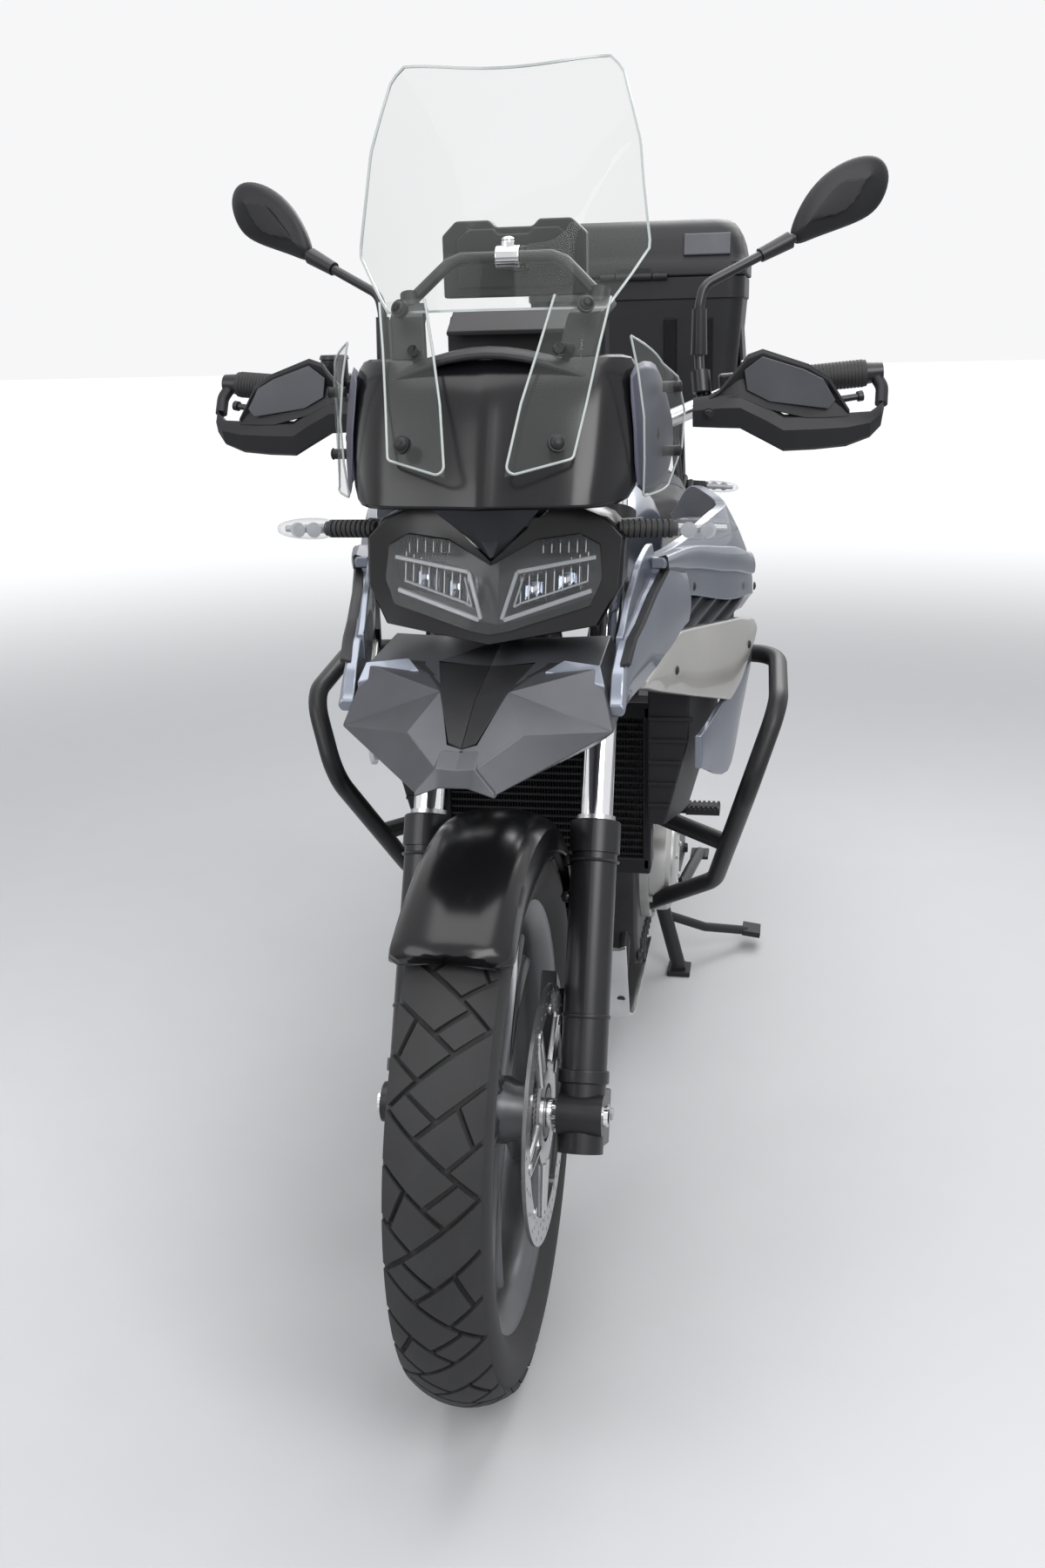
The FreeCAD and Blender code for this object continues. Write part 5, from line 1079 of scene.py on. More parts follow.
def controls():
    """Ribbed grips, levers on their perches, and switches. The right side has the larger fluid can."""
    with piece("grip_ribs", "rubber", body="steering", angle=40) as bm:
        for index in range(26):
            far = 14 + index * 4.4
            rod(bm, grip_spot(far), grip_spot(far + 2.4), 17.2, sides=28)
        both(bm)
    with piece("lever_blades", "fork_black", ("hand_controls",), "steering", angle=40) as bm:
        tip = on_bar(-28, 408, 58)
        tube(bm, [on_bar(-39, 262, 52), on_bar(-6, 292, 46), on_bar(-16, 350, 50), tip], 5, 30, 16, (6, 4))
        rod(bm, tip, on_bar(-30, 414, 59), 6.5)
        both(bm)
    with piece("lever_perches", "fork_black", body="steering", angle=40, bevel=1) as bm:
        rod(bm, grip_spot(137), grip_spot(171), 21, sides=32)
        rod(bm, grip_spot(139), grip_spot(159), 25, sides=32)
        both(bm)
        well = grip_spot(159)
        rod(bm, well + Vector((8, 0, 14)) * MM, well + Vector((12, 0, 30)) * MM, 9, sides=24)
        well = grip_spot(157)
        foot, neck, top = [Vector((well.x, -well.y, well.z)) + Vector((8, 0, lift)) * MM for lift in (16, 42, 48)]
        rod(bm, foot, neck, 18, sides=32)
        rod(bm, neck, top, 20, 18, 32)
    turn = BAR_ALONG.to_track_quat("Y", "Z").to_matrix().to_4x4()
    with piece("switch_blocks", "black_plastic", body="steering", angle=30, bevel=4, segments=3) as bm:
        block(bm, grip_spot(150) + Vector((-12, 0, 2)) * MM, (34, 40, 44), turn)
        block(bm, grip_spot(184) + Vector((2, 0, 0)) * MM, (30, 22, 34), turn)
        both(bm)
    with piece("switch_buttons", "red_button", body="steering", angle=30, bevel=1.5) as bm:
        block(bm, grip_spot(150) + Vector((-26, 0, 22)) * MM, (10, 16, 6), turn)
        both(bm)


# Shroud

PLAN = ((-20, 150), (-60, 156), (-165, 172), (-300, 206), (-450, 262), (-560, 284), (-700, 258), (-860, 206))
UPPER = ((-190, 938, 958, 4), (-300, 894, 960, 8), (-450, 862, 984, 18), (-560, 850, 982, 44), (-700, 800, 986, 60),
         (-860, 760, 925, 54))
ARM = ((-188, 944, 958, 0), (-290, 928, 956, 0), (-417, 905, 938, 2), (-520, 885, 915, 4))
BAND = ((0, 815, 828, 0), (-26, 818, 862, 1), (-60, 822, 886, 2), (-100, 824, 900, 3), (-165, 830, 925, 4),
        (-204, 840, 942, 4), (-289, 862, 926, 4))
LOWER = ((-125, 816, 829, 0), (-228, 786, 850, 2), (-278, 772, 854, 2), (-430, 728, 838, 4), (-474, 745, 833, 4),
         (-560, 790, 815, 2))
INNER = ((-60, 860, 890, 0), (-110, 866, 930, 2), (-165, 878, 960, 4), (-205, 900, 972, 6))
GRILLE_BACK = ((-225, 838, 862, 0), (-360, 832, 896, 0), (-480, 824, 874, 0))
FIN = ((-345, 655, 700, 0), (-434, 625, 734, 0), (-500, 700, 762, 0), (-545, 745, 795, 0))
STATIONS = 5


def plan_y(x):
    """The shroud's plan, eased round its bends."""
    spots = [min(max(x + shift, PLAN[-1][0]), PLAN[0][0]) for shift in (-24, -12, 0, 12, 24)]
    return sum(between(PLAN, spot)[1] for spot in spots) / len(spots)


def eased(rows, pull):
    """More stations between a panel's rows, on a curve through them, or on straight lines without a pull."""
    result = []
    for index, (a, b) in enumerate(zip(rows, rows[1:])):
        before, after = rows[max(0, index - 1)], rows[min(len(rows) - 1, index + 2)]
        for t in shares(STATIONS)[:-1]:
            values = [a[0] + (b[0] - a[0]) * t]
            for k in range(1, len(a)):
                start, end = pull * (b[k] - before[k]), pull * (after[k] - a[k])
                if pull == 0:
                    start = end = b[k] - a[k]
                values.append((2 * t ** 3 - 3 * t * t + 1) * a[k] + (t ** 3 - 2 * t * t + t) * start +
                              (-2 * t ** 3 + 3 * t * t) * b[k] + (t ** 3 - t * t) * end)
            result.append(values)
    return result + [list(rows[-1])]


def panel(name, rows, proud, thick, crown, look_name, replaces=(), bevel=1.6, pull=0.35):
    """A crowned panel on both sides along the shroud's plan."""
    with piece(name, look_name, replaces, angle=40, bevel=bevel) as bm:
        sections = []
        for x, low, high, lean in eased(rows, pull):
            y = plan_y(x) + proud
            ring = [(x, y - lean * share ** 1.6 + crown * sin(pi * share), low + (high - low) * share)
                    for share in shares(6)]
            ring += [(x, y - lean * share ** 1.6 - thick, low + (high - low) * share) for share in (1, 0.5, 0)]
            sections.append(ring)
        skin(bm, sections)
        both(bm)


def shroud():
    """The side fairings' panels, with slats in the recess between them."""
    panel("shroud_upper", UPPER, 0, 14, 3, "silver_paint", ("side_fairings",))
    panel("shroud_arm", ARM, 8, 16, 2.5, "silver_paint", bevel=3)
    panel("shroud_band", BAND, 6, 14, 4, "silver_paint", bevel=2.5)
    panel("shroud_inner", INNER, -5, 8, 1, "silver_paint")
    panel("shroud_lower", LOWER, 4, 16, 4, "white_panel", bevel=3, pull=0)
    panel("shroud_fin", FIN, 0, 9, 2, "silver_paint", bevel=2)
    panel("grille_back", GRILLE_BACK, -10, 6, 0, "black_plastic", bevel=0.5)
    with piece("grille_slats", "dark_grey", angle=30, bevel=0.8) as bm:
        for index in range(4):
            rows = []
            for share in shares(4):
                x = -262 - index * 50 - 84 * share
                z = 850 - index * 5 + (34 - index * 3) * share
                y = plan_y(x)
                rows.append([(x, y - 14, z), (x - 8, y + 1.5, z + 0.5), (x - 8, y + 1.5, z + 4), (x, y - 14, z + 5)])
            skin(bm, rows)
        both(bm)
    # A black strip along the band's upper edge under the ridge: partly a raised dark edge, partly painted shadow of the
    # gap beneath the ridge. The domes are screw heads.
    with piece("shroud_edge_and_gap_shadow", "frame_black", angle=40, bevel=0.5) as bm:
        skin(bm, [[(x, plan_y(x) + 9 + dy, z + dz) for dy, dz in ((0, -3), (3, 0), (0, 3), (-10, 0))] for x, z in
                  ((-190, 958), (-196, 941), (-150, 921), (-95, 898), (-58, 887), (-28, 866))])
        for x, z in ((-300, 905), (-520, 868), (-240, 812), (-500, 790)):
            dome(bm, (x, plan_y(x) + 7, z), (0.1, 1, 0), 6, 3)
        both(bm)


def tank():
    """Smooth tank with knee recesses, a raised spine and the filler's seat, hinge ears and lid."""
    with piece("tank_shell", "silver_paint", ("fuel_tank",), angle=60, smooth=1) as bm:
        sections = []
        for x, low, middle, high, half in (
                (-470, 900, 925, 950, 60), (-500, 885, 920, 972, 92), (-560, 856, 910, 1002, 126),
                (-630, 822, 900, 1014, 142), (-700, 794, 890, 1014, 148), (-770, 774, 875, 992, 140),
                (-820, 762, 860, 963, 126), (-860, 760, 842, 915, 106), (-884, 762, 830, 884, 88)):
            ring = [(y * half, z) for y, z in
                    ((0, low), (0.5, low), (0.88, low + 6), (1.0, middle), (0.97, middle + (high - middle) * 0.45),
                     (0.8, high - 22), (0.5, high - 6), (0.22, high), (0, high))]
            sections.append([(x, y, z) for y, z in ring + [(-y, z) for y, z in reversed(ring[1:-1])]])
        skin(bm, sections)
    with piece("tank_spine", "black_plastic", angle=40, bevel=1) as bm:
        rod(bm, (-640, 0, 1000), (-640, 0, 1026), 52, 50, 64)
        for y in (12, -12):
            block(bm, (-596, y, 1028), (8, 6, 8))
        cross_rod(bm, -596, -15, 15, 1031, 2)
        skin(bm, [[(x, y * half, high + lift) for y, lift in
                   ((-1, -10), (-0.8, 0), (0, 1.5), (0.8, 0), (1, -10), (0, -16))] for x, high, half in
                  ((-500, 976, 34), (-560, 1004, 52), (-600, 1012, 62), (-700, 1018, 62), (-770, 996, 52),
                   (-830, 956, 40), (-868, 900, 34))])
    with piece("filler_bolts", "chrome") as bm:
        for a in turns(6, pi / 6):
            dome(bm, (-640 + 45 * cos(a), 45 * sin(a), 1026), UP, 3, 1.6)
    with piece("filler_lid_top", "fork_black", body="filler_lid", angle=30, bevel=0.4) as bm:
        lathe(bm, (-640, 0, 0), UP, [(0.5, 1036.4), (24, 1036.4), (26, 1037.2), (38, 1036.6), (39.6, 1034.6),
                                     (40, 1027), (0.5, 1027)], 64)
        block(bm, (-640, 0, 1037.4), (46, 12, 2.4))


def indicators():
    """Ribbed rubber stalks with a clear lens over the lights, at the front and the rear."""
    stems = []
    for x, y, z, reach, ahead in ((-125, 140, 1000, 120, 1), (-1735, 92, 880, 110, -1)):
        base = at(x, y, z)
        stems.append((base, (at(x - 30 * ahead, y + reach, z - 4) - base).normalized() * MM, ahead))
    with piece("indicator_stalks", "rubber", ("indicators",), angle=40) as bm:
        for base, along, ahead in stems:
            for far in (4 + index * 6.5 for index in range(9)):
                rod(bm, base + along * far, base + along * (far + 4.4), 10.5)
            rod(bm, base, base + along * 66, 8.5)
        both(bm)
    with piece("indicator_lenses", "clear_lens", angle=50, smooth=1) as bm:
        for base, along, ahead in stems:
            skin(bm, [[base + along * far + (AHEAD * (deep * c) + UP * (high * s)) * MM for c, s in
                       (squarish(a, 0.7, 0.8) for a in turns(16))] for far, high, deep in
                      ((60, 9, 10), (68, 12.5, 15), (92, 13, 17), (118, 11, 14), (136, 5, 6))])
        both(bm)
    with piece("indicator_lights", "led", angle=40) as bm:
        for base, along, ahead in stems:
            rod(bm, base + along * 64, base + along * 122, 6, 4, 16)
            for far in (80, 102):
                spot = base + along * far + AHEAD * (8 * ahead * MM)
                rod(bm, spot, spot + AHEAD * (5 * ahead * MM), 8, 9, 24)
        both(bm)


def crash_bars():
    """A bent tube on each side with its brace."""
    with piece("guard_tubes", "frame_black", ("crash_bars",), angle=40) as bm:
        tube(bm, [(-668, 150, 745), (-588, 318, 757), (-400, 322, 730), (-361, 286, 625), (-550, 235, 420),
                  (-640, 122, 340)], 13, sides=28)
        rod(bm, (-480, 262, 500), (-575, 122, 520), 13, sides=28)
        rod(bm, (-562, 128, 518), (-560, 140, 516), 19, sides=28)
        both(bm)


def instruments():
    """The display on its hoop, and the instrument panel behind the screen."""
    with piece("display_case", "black_plastic", ("display_unit",), angle=25, bevel=3, segments=3) as bm:
        line = ((-87, 1252), (-87, 1322), (-70, 1338), (-30, 1338), (-22, 1330), (22, 1330), (30, 1338), (68, 1338),
                (85, 1322), (85, 1252))
        prism(bm, [(-312, y, z) for y, z in line], (26, 0, 0))
        prism(bm, [(-287, y * 0.8, 1295 + (z - 1295) * 0.78) for y, z in line], (6, 0, 0))
        block(bm, (-270, 2, 1294), (40, 34, 26))
    with piece("display_glass", "gloss_black", angle=20) as bm:
        prism(bm, [(-312.6, -76, 1262), (-312.6, 76, 1262), (-312.6, 76, 1322), (-312.6, -76, 1322)], (-0.6, 0, 0))
    with piece("display_clamp", "chrome", bevel=1.5) as bm:
        cross_rod(bm, -235, -12, 16, 1294, 13, 32)
        block(bm, (-246, 2, 1294), (22, 22, 22))
        rod(bm, (-235, 2, 1294), (-235, 2, 1312), 8, sides=24)
        dome(bm, (-235, 2, 1312), UP, 8, 5)
    with piece("display_hoop", "frame_black", angle=40) as bm:
        rod(bm, (-206, 109, 1240), (-214, 111, 1256), 11, sides=24)
        both(bm)
        tube(bm, [(-212, -111, 1247), (-235, -62, 1294), (-235, 62, 1294), (-212, 111, 1247)], 7.1, bend=40)
    with piece("instrument_pod", "black_plastic", ("instrument_panel",), angle=30, bevel=2) as bm:
        rows = [[(x, half, z) for x, z in ((-352 - s, 1150 + s), (-352 - s, 1212 - s), (-372, 1232 - s),
                                           (-402 + s, 1226 - s), (-396 + s, 1147 + s))]
                for half, s in ((88, 4), (98, 1), (100, 0))]
        skin(bm, rows + other_side(rows))
        slab(bm, -96, 192, ((-330, 1208), (-330, 1214), (-376, 1240), (-408, 1236), (-408, 1230), (-376, 1233)))
    with piece("instrument_glass", "gloss_black", angle=20, bevel=0.5) as bm:
        prism(bm, [(-397 - 0.075 * (z - 1147), y, z) for y, z in
                   ((-90, 1156), (90, 1156), (90, 1218), (-90, 1218))], (-3, 0, 0))


# Frame, engine and running gear

HEAD_LOW, HEAD_HIGH = 544, 716
RAIL = ((-800, 128, 706), (-1010, 120, 730), (-1300, 112, 782), (-1760, 100, 890))
RAIL_TOP = 11 * 1.06
PIVOT_X, PIVOT_Z = -985, 404
STAND_X, STAND_Z = -1150, 250
SPINDLE_X, SPINDLE_Z = -1559, 344.9


def rail_at(x):
    """The seat rail's distance from the middle and its height."""
    return between(RAIL, x)[1:]


def frame_tubes():
    """Head tube, spine, cradle and seat rails, with cast plates round the swingarm's pivot."""
    with piece("frame_tubes", "frame_black", ("main_frame",), angle=40) as bm:
        tube(bm, [fork(HEAD_HIGH - 46, 10, -18), (-480, 92, 872), (-740, 132, 745), (-930, 138, 620),
                  (-995, 144, 464)], 15, bend=90)
        tube(bm, [fork(HEAD_LOW + 31, 10, -16), (-430, 88, 748), (-600, 146, 748), (-780, 134, 716)], 15)
        tube(bm, RAIL, 11, bend=90)
        tube(bm, [(-985, 143, 560), (-1130, 124, 640), (-1440, 108.7, 814.9)], 11, bend=90)
        cross_rod(bm, PIVOT_X, 149, 153, PIVOT_Z, 22, 40)
        for x, y, z, radius, height in ((PIVOT_X, 153, PIVOT_Z, 13, 7), (STAND_X, 150, STAND_Z, 10, 6),
                                        (-958, 150, 560, 6, 5), (-1000, 150, 520, 6, 5), (-962, 150, 300, 6, 5),
                                        (-640, 150, 738, 8, 6)):
            bolt(bm, (x, y, z), ACROSS, radius, height)
        for x, z in ((-925, 340), (-938, 540)):
            rod(bm, (x, 118, z), (x - 18, 142, z), 13)
        rod(bm, (-640, 118, 705), (-640, 144, 744), 12)
        both(bm)
        rod(bm, fork(HEAD_LOW, 0, 0), fork(HEAD_HIGH, 0, 0), 29, sides=40)
        for low in (HEAD_LOW, HEAD_HIGH - 8):
            rod(bm, fork(low, 0, 0), fork(low + 8, 0, 0), 31, sides=40)
        for x in (-1290, -1740):
            y, z = rail_at(x)
            cross_rod(bm, x, -y, y, z, 10)
        cross_rod(bm, -962, -138, 138, 600, 12)
        block(bm, (-910, 144, 296), (50, 12, 98))
    with piece("frame_plates", "frame_black", angle=30, bevel=3) as bm:
        slab(bm, 138, 12, ((-950, 590), (-1005, 600), (-1050, 440), (-1030, 330), (-1180, 266), (-1176, 226),
                           (-985, 240), (-930, 320)))
        both(bm)


def engine():
    """Crankcase, leaning cylinders and head, bolted covers, and the small parts on them."""
    with piece("engine_case", "engine_metal", ("engine",), angle=30, bevel=8, segments=3) as bm:
        slab(bm, -117, 234, ((-600, 250), (-850, 246), (-850, 575), (-640, 560), (-575, 490), (-570, 320)))
        slab(bm, -117, 201, ((-840, 260), (-925, 262), (-942, 330), (-942, 470), (-900, 560), (-840, 565)))
        slab(bm, -70, 140, ((-640, 218), (-830, 218), (-845, 255), (-620, 255)))
    with piece("engine_head", "engine_metal", angle=30, bevel=3) as bm:
        slab(bm, -112, 224, ((-620, 555), (-800, 555), (-775, 645), (-590, 645)))
        slab(bm, -118, 236, ((-570, 640), (-790, 640), (-800, 690), (-770, 712), (-600, 712), (-565, 690)))
        for x in (-760, -725, -690, -655, -620):
            block(bm, (x, 0, 714), (8, 216, 15))
        for z in range(566, 640, 12):
            shift = (z - 555) / 90 * 28
            for y in (113, -113):
                block(bm, (-708 + shift, y, z), (168, 6, 4))
            block(bm, (-618 + shift, 0, z), (6, 216, 4))
    with piece("engine_covers", "cast_silver", angle=30, bevel=0.8) as bm:
        for x, z, side, radius, outer in ((-780, 390, -1, 90, 172), (-690, 400, 1, 84, 162)):
            out = ACROSS * side
            lathe(bm, (x, 0, z), out,
                  [(0.5, outer + 7), (radius * 0.62, outer + 7), (radius * 0.69, outer + 4), (radius * 0.71, outer),
                   (radius * 0.92, outer), (radius - 1, outer - 6), (radius, outer - 14), (radius, outer - 30),
                   (radius + 12, outer - 31), (radius + 12, 117), (0.5, 117)], 80)
            for count, start, reach, lift, size, height in (
                    (9, 0.6 * pi / 9, radius + 5, outer - 31, 5, 5), (5, 0.4, radius * 0.5, outer + 7, 4, 3)):
                for a in turns(count, start):
                    bolt(bm, (x + reach * cos(a), side * lift, z + reach * sin(a)), out, size, height)
        lathe(bm, (-640, 0, 286), -ACROSS, [(0.5, 158), (14, 158), (16, 155), (25, 155), (26, 152), (26, 116),
                                            (0.5, 116)], 48)
    with piece("engine_details", "engine_metal", angle=30, bevel=0.6) as bm:
        for x in range(-840, -590, 25):
            block(bm, (x, 118.5, 272), (4, 5, 36))
        for x, z in ((-600, 500), (-838, 560), (-598, 268), (-845, 262), (-640, 545), (-760, 556)):
            cross_rod(bm, x, 116, 121, z, 11, 24)
            bolt(bm, (x, 121, z), ACROSS, 6, 5)
        for y in (20, 52):
            for x, z in ((-571, 330), (-573, 470)):
                bolt(bm, (x, y, z), (1, 0, 0.05), 5, 4)
        rod(bm, (-566, 42, 678), (-556, 42, 673), 27, 25, 32)
        both(bm)
        for x, z in ((-905, 300), (-920, 520), (-880, 540), (-860, 280)):
            bolt(bm, (x, 84, z), ACROSS, 5, 5)
        cross_rod(bm, -900, 80, 104, 385, 18, 32)
        bolt(bm, (-900, 104, 385), ACROSS, 12, 7)
        rod(bm, (-573, -64, 300), (-561, -64, 300), 30, sides=40)


def silencer_ring(share, wide, high):
    """A ring round the silencer's middle line; the share runs from its front to its rear."""
    return circle(at(-1210 - 430 * share, -205, 432 + 128 * share), ACROSS, UP, wide, high, 48)


def exhaust():
    """Two headers into one pipe, and an oval silencer with a tip, a hanger and a heat shield."""
    with piece("exhaust_pipes", "exhaust_steel", ("exhaust",), angle=40) as bm:
        for y in (42, -42):
            tube(bm, [(-560, y, 676), (-512, y, 650), (-500, y, 430), (-560, y, 192), (-720, y * 0.6, 190),
                      (-880, -60, 190)], 19, sides=28)
        tube(bm, [(-850, -58, 192), (-950, -92, 192), (-1015, -186, 205), (-1100, -200, 330), (-1200, -205, 428)],
             22, bend=70, sides=28)
        rod(bm, (-868, -61, 191), (-892, -66, 191), 25, sides=32)
    with piece("silencer_body", "fork_black", bevel=1) as bm:
        skin(bm, [silencer_ring(*values) for values in
                  ((-0.085, 26, 26), (-0.045, 38, 40), (0.0, 49, 54), (0.02, 52, 58), (0.5, 52, 58), (0.97, 52, 58),
                   (1.0, 48, 54), (1.012, 34, 38))])
    with piece("silencer_trim", "frame_black") as bm:
        for share in (0.03, 0.94):
            skin(bm, [silencer_ring(share + shift, 52 + grow, 58 + grow) for shift, grow in
                      ((-0.012, 0), (-0.01, 1.6), (0.01, 1.6), (0.012, 0))])
        mouth = at(-1630, -205, 557)
        lathe(bm, mouth, at(-1690, -205, 575) - mouth,
              [(26, 0), (26, 60), (24, 62.6), (22, 62), (22, 16), (2, 16), (2, 0)], 48)
        rod(bm, (-1420, -98, 802), (-1420, -192, 541), 7)
        block(bm, (-1420, -196, 552), (46, 12, 22), (16, "Y"))
    with piece("heat_shield", "exhaust_steel", bevel=1) as bm:
        sheet = []
        for share in (0.10 + 0.66 * step for step in shares(8)):
            x, z = -1210 - 430 * share, 432 + 128 * share
            row = [(x, -205 - 55.5 * cos(a), z + 61.5 * sin(a)) for a in (radians(-32 + 64 * t) for t in shares(8))]
            sheet.append(row + [(x, y - 3, z) for x, y, z in reversed(row)])
        skin(bm, sheet)
        for share in (0.16, 0.70):
            bolt(bm, (-1210 - 430 * share, -263, 432 + 128 * share), -ACROSS, 6, 3)


def radiator():
    """Tanks and side cheeks round a finned core."""
    with piece("radiator_housing", "black_plastic", ("radiator",), angle=30, bevel=3) as bm:
        block(bm, (-450, 144, 596), (42, 12, 240))
        rod(bm, (-460, 92, 700), (-460, 92, 752), 7)
        skin(bm, [[(x, y, z) for y, z in line] for x, line in
                  ((-474, ((152, 789), (152, 541), (199, 561), (239, 701), (239, 775))),
                   (-440, ((152, 786), (152, 550), (194, 563), (231, 698), (232, 772))),
                   (-353, ((152, 773), (152, 572), (175, 572), (205, 690), (207, 759))))])
        both(bm)
        for z in (482, 710):
            block(bm, (-450, 0, z), (42, 298, 24))
    with piece("radiator_core", "black_plastic") as bm:
        for row in range(20):
            block(bm, (-450, 0, 498 + row * 10.6), (30, 276, 3))
        for share in shares(69):
            block(bm, (-450, -136 + 272 * share, 598), (26, 0.7, 208))
    with piece("cheek_slats", "black_plastic", bevel=0.8) as bm:
        for z in range(600, 750, 30):
            reach = 176 + (z - 572) * 0.25
            block(bm, (-352, (152 + reach) / 2, z), (6, reach - 154, 5))
        both(bm)


def skid_plate():
    """A bent sheet under the engine, ribbed and on posts."""
    with piece("skid_shell", "bar_aluminium", ("skid_plate",), bevel=1) as bm:
        outer = ((-470, 330), (-492, 268), (-520, 198), (-560, 176), (-600, 161), (-750, 161), (-900, 161))
        skin(bm, [[(x, y, z + lift) for x, z in outer] + [(x - 2, y, z + 4.5 + lift) for x, z in reversed(outer)]
                  for y, lift in ((-110, 5), (-100, 1), (-60, 0), (0, 0), (60, 0), (100, 1), (110, 5))])
        for y in (-70, -35, 0, 35, 70):
            block(bm, (-745, y, 162), (250, 8, 4))
    with piece("skid_posts", "frame_black") as bm:
        rod(bm, (-830, 98, 165), (-830, 98, 260), 8)
        rod(bm, (-508, 98, 243), (-590, 98, 330), 8)
        bolt(bm, (-509, 98, 238), (0.8, 0, -0.6), 7, 4)
        both(bm)


def swingarm():
    """Two beams with a cross piece, their ends with adjusters, and the rear axle."""
    with piece("swingarm_beams", "cast_silver", ("swingarm",), angle=30, bevel=6, segments=3) as bm:
        slab(bm, 110, 24, ((-961, 436), (-961, 370), (-1025, 362), (-1604, 318.9), (-1609, 370.9), (-1105, 440)))
        both(bm)
        block(bm, (-1091, -13, 398), (54, 194, 52))
        block(bm, (-1091, 95, 394), (54, 30, 36))
    with piece("swingarm_ends", "bar_aluminium", angle=30, bevel=0.8) as bm:
        slab(bm, 134, 3, ((-1535, 360), (-1535, 326), (-1600, 326), (-1600, 360)))
        cross_rod(bm, SPINDLE_X, 134, 139, SPINDLE_Z, 22, 32)
        cross_rod(bm, -1474, 118, 139, 350.9, 4)
        for index in range(3):
            bolt(bm, (-1150 - index * 110, 134, 396 - index * 8), ACROSS, 6, 3)
        block(bm, (-1609, 122, 345), (6, 14, 30))
        both(bm)
    with piece("rear_spindle", "chrome", ("rear_axle",)) as bm:
        middle = (SPINDLE_X, 0, SPINDLE_Z)
        lathe(bm, middle, ACROSS, band(12.6, 18, 139, 143.6), 6)
        both(bm)
        for inner, outer, low, high in ((9, 12.5, -144, 144), (12.6, 17.5, 102, 110), (12.6, 17.5, -110, -76)):
            lathe(bm, middle, ACROSS, band(inner, outer, low, high), 48)


def shock():
    """Damper with its spring seats, and the coil round it."""
    top, foot = at(-966, 0, 600), at(-1086, 0, 424)
    long = (foot - top).length / MM
    along = (foot - top).normalized() * MM
    with piece("shock_body", "fork_black", ("rear_shock",), bevel=1) as bm:
        for start, end, radius, sides in ((14, 66, 24, 32), (60, 72, 34, 40), (66, long - 20, 12, 24),
                                          (long - 24, long - 12, 34, 40), (long - 22, long + 2, 14, 20)):
            rod(bm, top + along * start, top + along * end, radius, sides=sides)
    x, y = frame_of(along)[:2]
    start, end, coils = 74, long - 26, 6
    with piece("shock_spring", "bar_aluminium", angle=50) as bm:
        tube(bm, [top + along * (start + (end - start) * share) +
                  (x * cos(2 * pi * coils * share) + y * sin(2 * pi * coils * share)) * (28.5 * MM)
                  for share in shares(coils * 20)], 5, bend=10, sides=12)


# Chain, sprockets and stands

CHAIN_Y = 97
LINK = 15.875
SHAFT_X, SHAFT_Z = -900, 385
SMALL_RADIUS, SMALL_TEETH = 40.0, 16
BIG_RADIUS, BIG_TEETH = 104.0, 42


def chain_line():
    """Points once round both sprockets, in the chain's plane."""
    front, rear = Vector((SHAFT_X, SHAFT_Z)), Vector((SPINDLE_X, SPINDLE_Z))
    gap = rear - front
    lean = asin((BIG_RADIUS - SMALL_RADIUS) / gap.length)
    slope = atan2(gap.y, gap.x)
    start, stop = slope + pi / 2 + lean, slope + 1.5 * pi - lean
    path = []
    for centre, radius, a0, a1 in ((front, SMALL_RADIUS, start, stop), (rear, BIG_RADIUS, stop, start + 2 * pi)):
        for share in shares(max(8, round((a1 - a0) * radius / 4))):
            angle = a0 + (a1 - a0) * share
            path.append(centre + Vector((cos(angle), sin(angle))) * radius)
    return path + path[:1]


def chain_pins():
    """Evenly spaced places along the chain's line, an even number of links round."""
    path = chain_line()
    lengths = [0.0]
    for a, b in zip(path, path[1:]):
        lengths.append(lengths[-1] + (b - a).length)
    count = 2 * round(lengths[-1] / LINK / 2)
    pins = []
    step = 0
    for far in (index * lengths[-1] / count for index in range(count)):
        while lengths[step + 1] < far:
            step += 1
        share = (far - lengths[step]) / (lengths[step + 1] - lengths[step])
        pins.append(path[step].lerp(path[step + 1], share))
    return pins


def chain():
    """Link plates and rollers, the drive sprocket and the chain's cover."""
    pins = chain_pins()
    with piece("chain_plates", "chain_steel", ("drive_chain",)) as bm:
        for index, (a, b) in enumerate(zip(pins, pins[1:] + pins[:1])):
            start, end = at(a.x, CHAIN_Y, a.y), at(b.x, CHAIN_Y, b.y)
            along = (end - start).normalized()
            near, far = (6.0, 7.8) if index % 2 else (4.0, 5.7)
            ring = []
            for base, turn in ((start, pi / 2), (end, 1.5 * pi)):
                for angle in (turn + pi * share for share in shares(7)):
                    ring.append(base + (along * cos(angle) + along.cross(ACROSS) * sin(angle)) * (6.6 * MM))
            for side in (1, -1):
                prism(bm, [p + ACROSS * (side * near * MM) for p in ring], (0, side * (far - near), 0))
    with piece("chain_rollers", "chain_steel", angle=40) as bm:
        for pin in pins:
            for reach, radius, sides in ((7.9, 2.6, 12), (3.8, 5, 14)):
                cross_rod(bm, pin.x, CHAIN_Y - reach, CHAIN_Y + reach, pin.y, radius, sides)
    with piece("drive_sprocket", "chain_steel", angle=30) as bm:
        gear(bm, at(SHAFT_X, 94, SHAFT_Z), SMALL_TEETH, SMALL_RADIUS, 16)
    with piece("chain_cover", "black_plastic", angle=30, bevel=0.8) as bm:
        slab(bm, 84, 34, ((-985, 458), (-1080, 452), (-1260, 438), (-1400, 452), (-1500, 474), (-1508, 470),
                          (-1400, 446), (-1260, 433), (-1080, 447), (-985, 452)))
        slab(bm, 115, 3, ((-1000, 452), (-1260, 434), (-1400, 447), (-1500, 470), (-1496, 452), (-1400, 434),
                          (-1260, 420), (-1000, 440)))


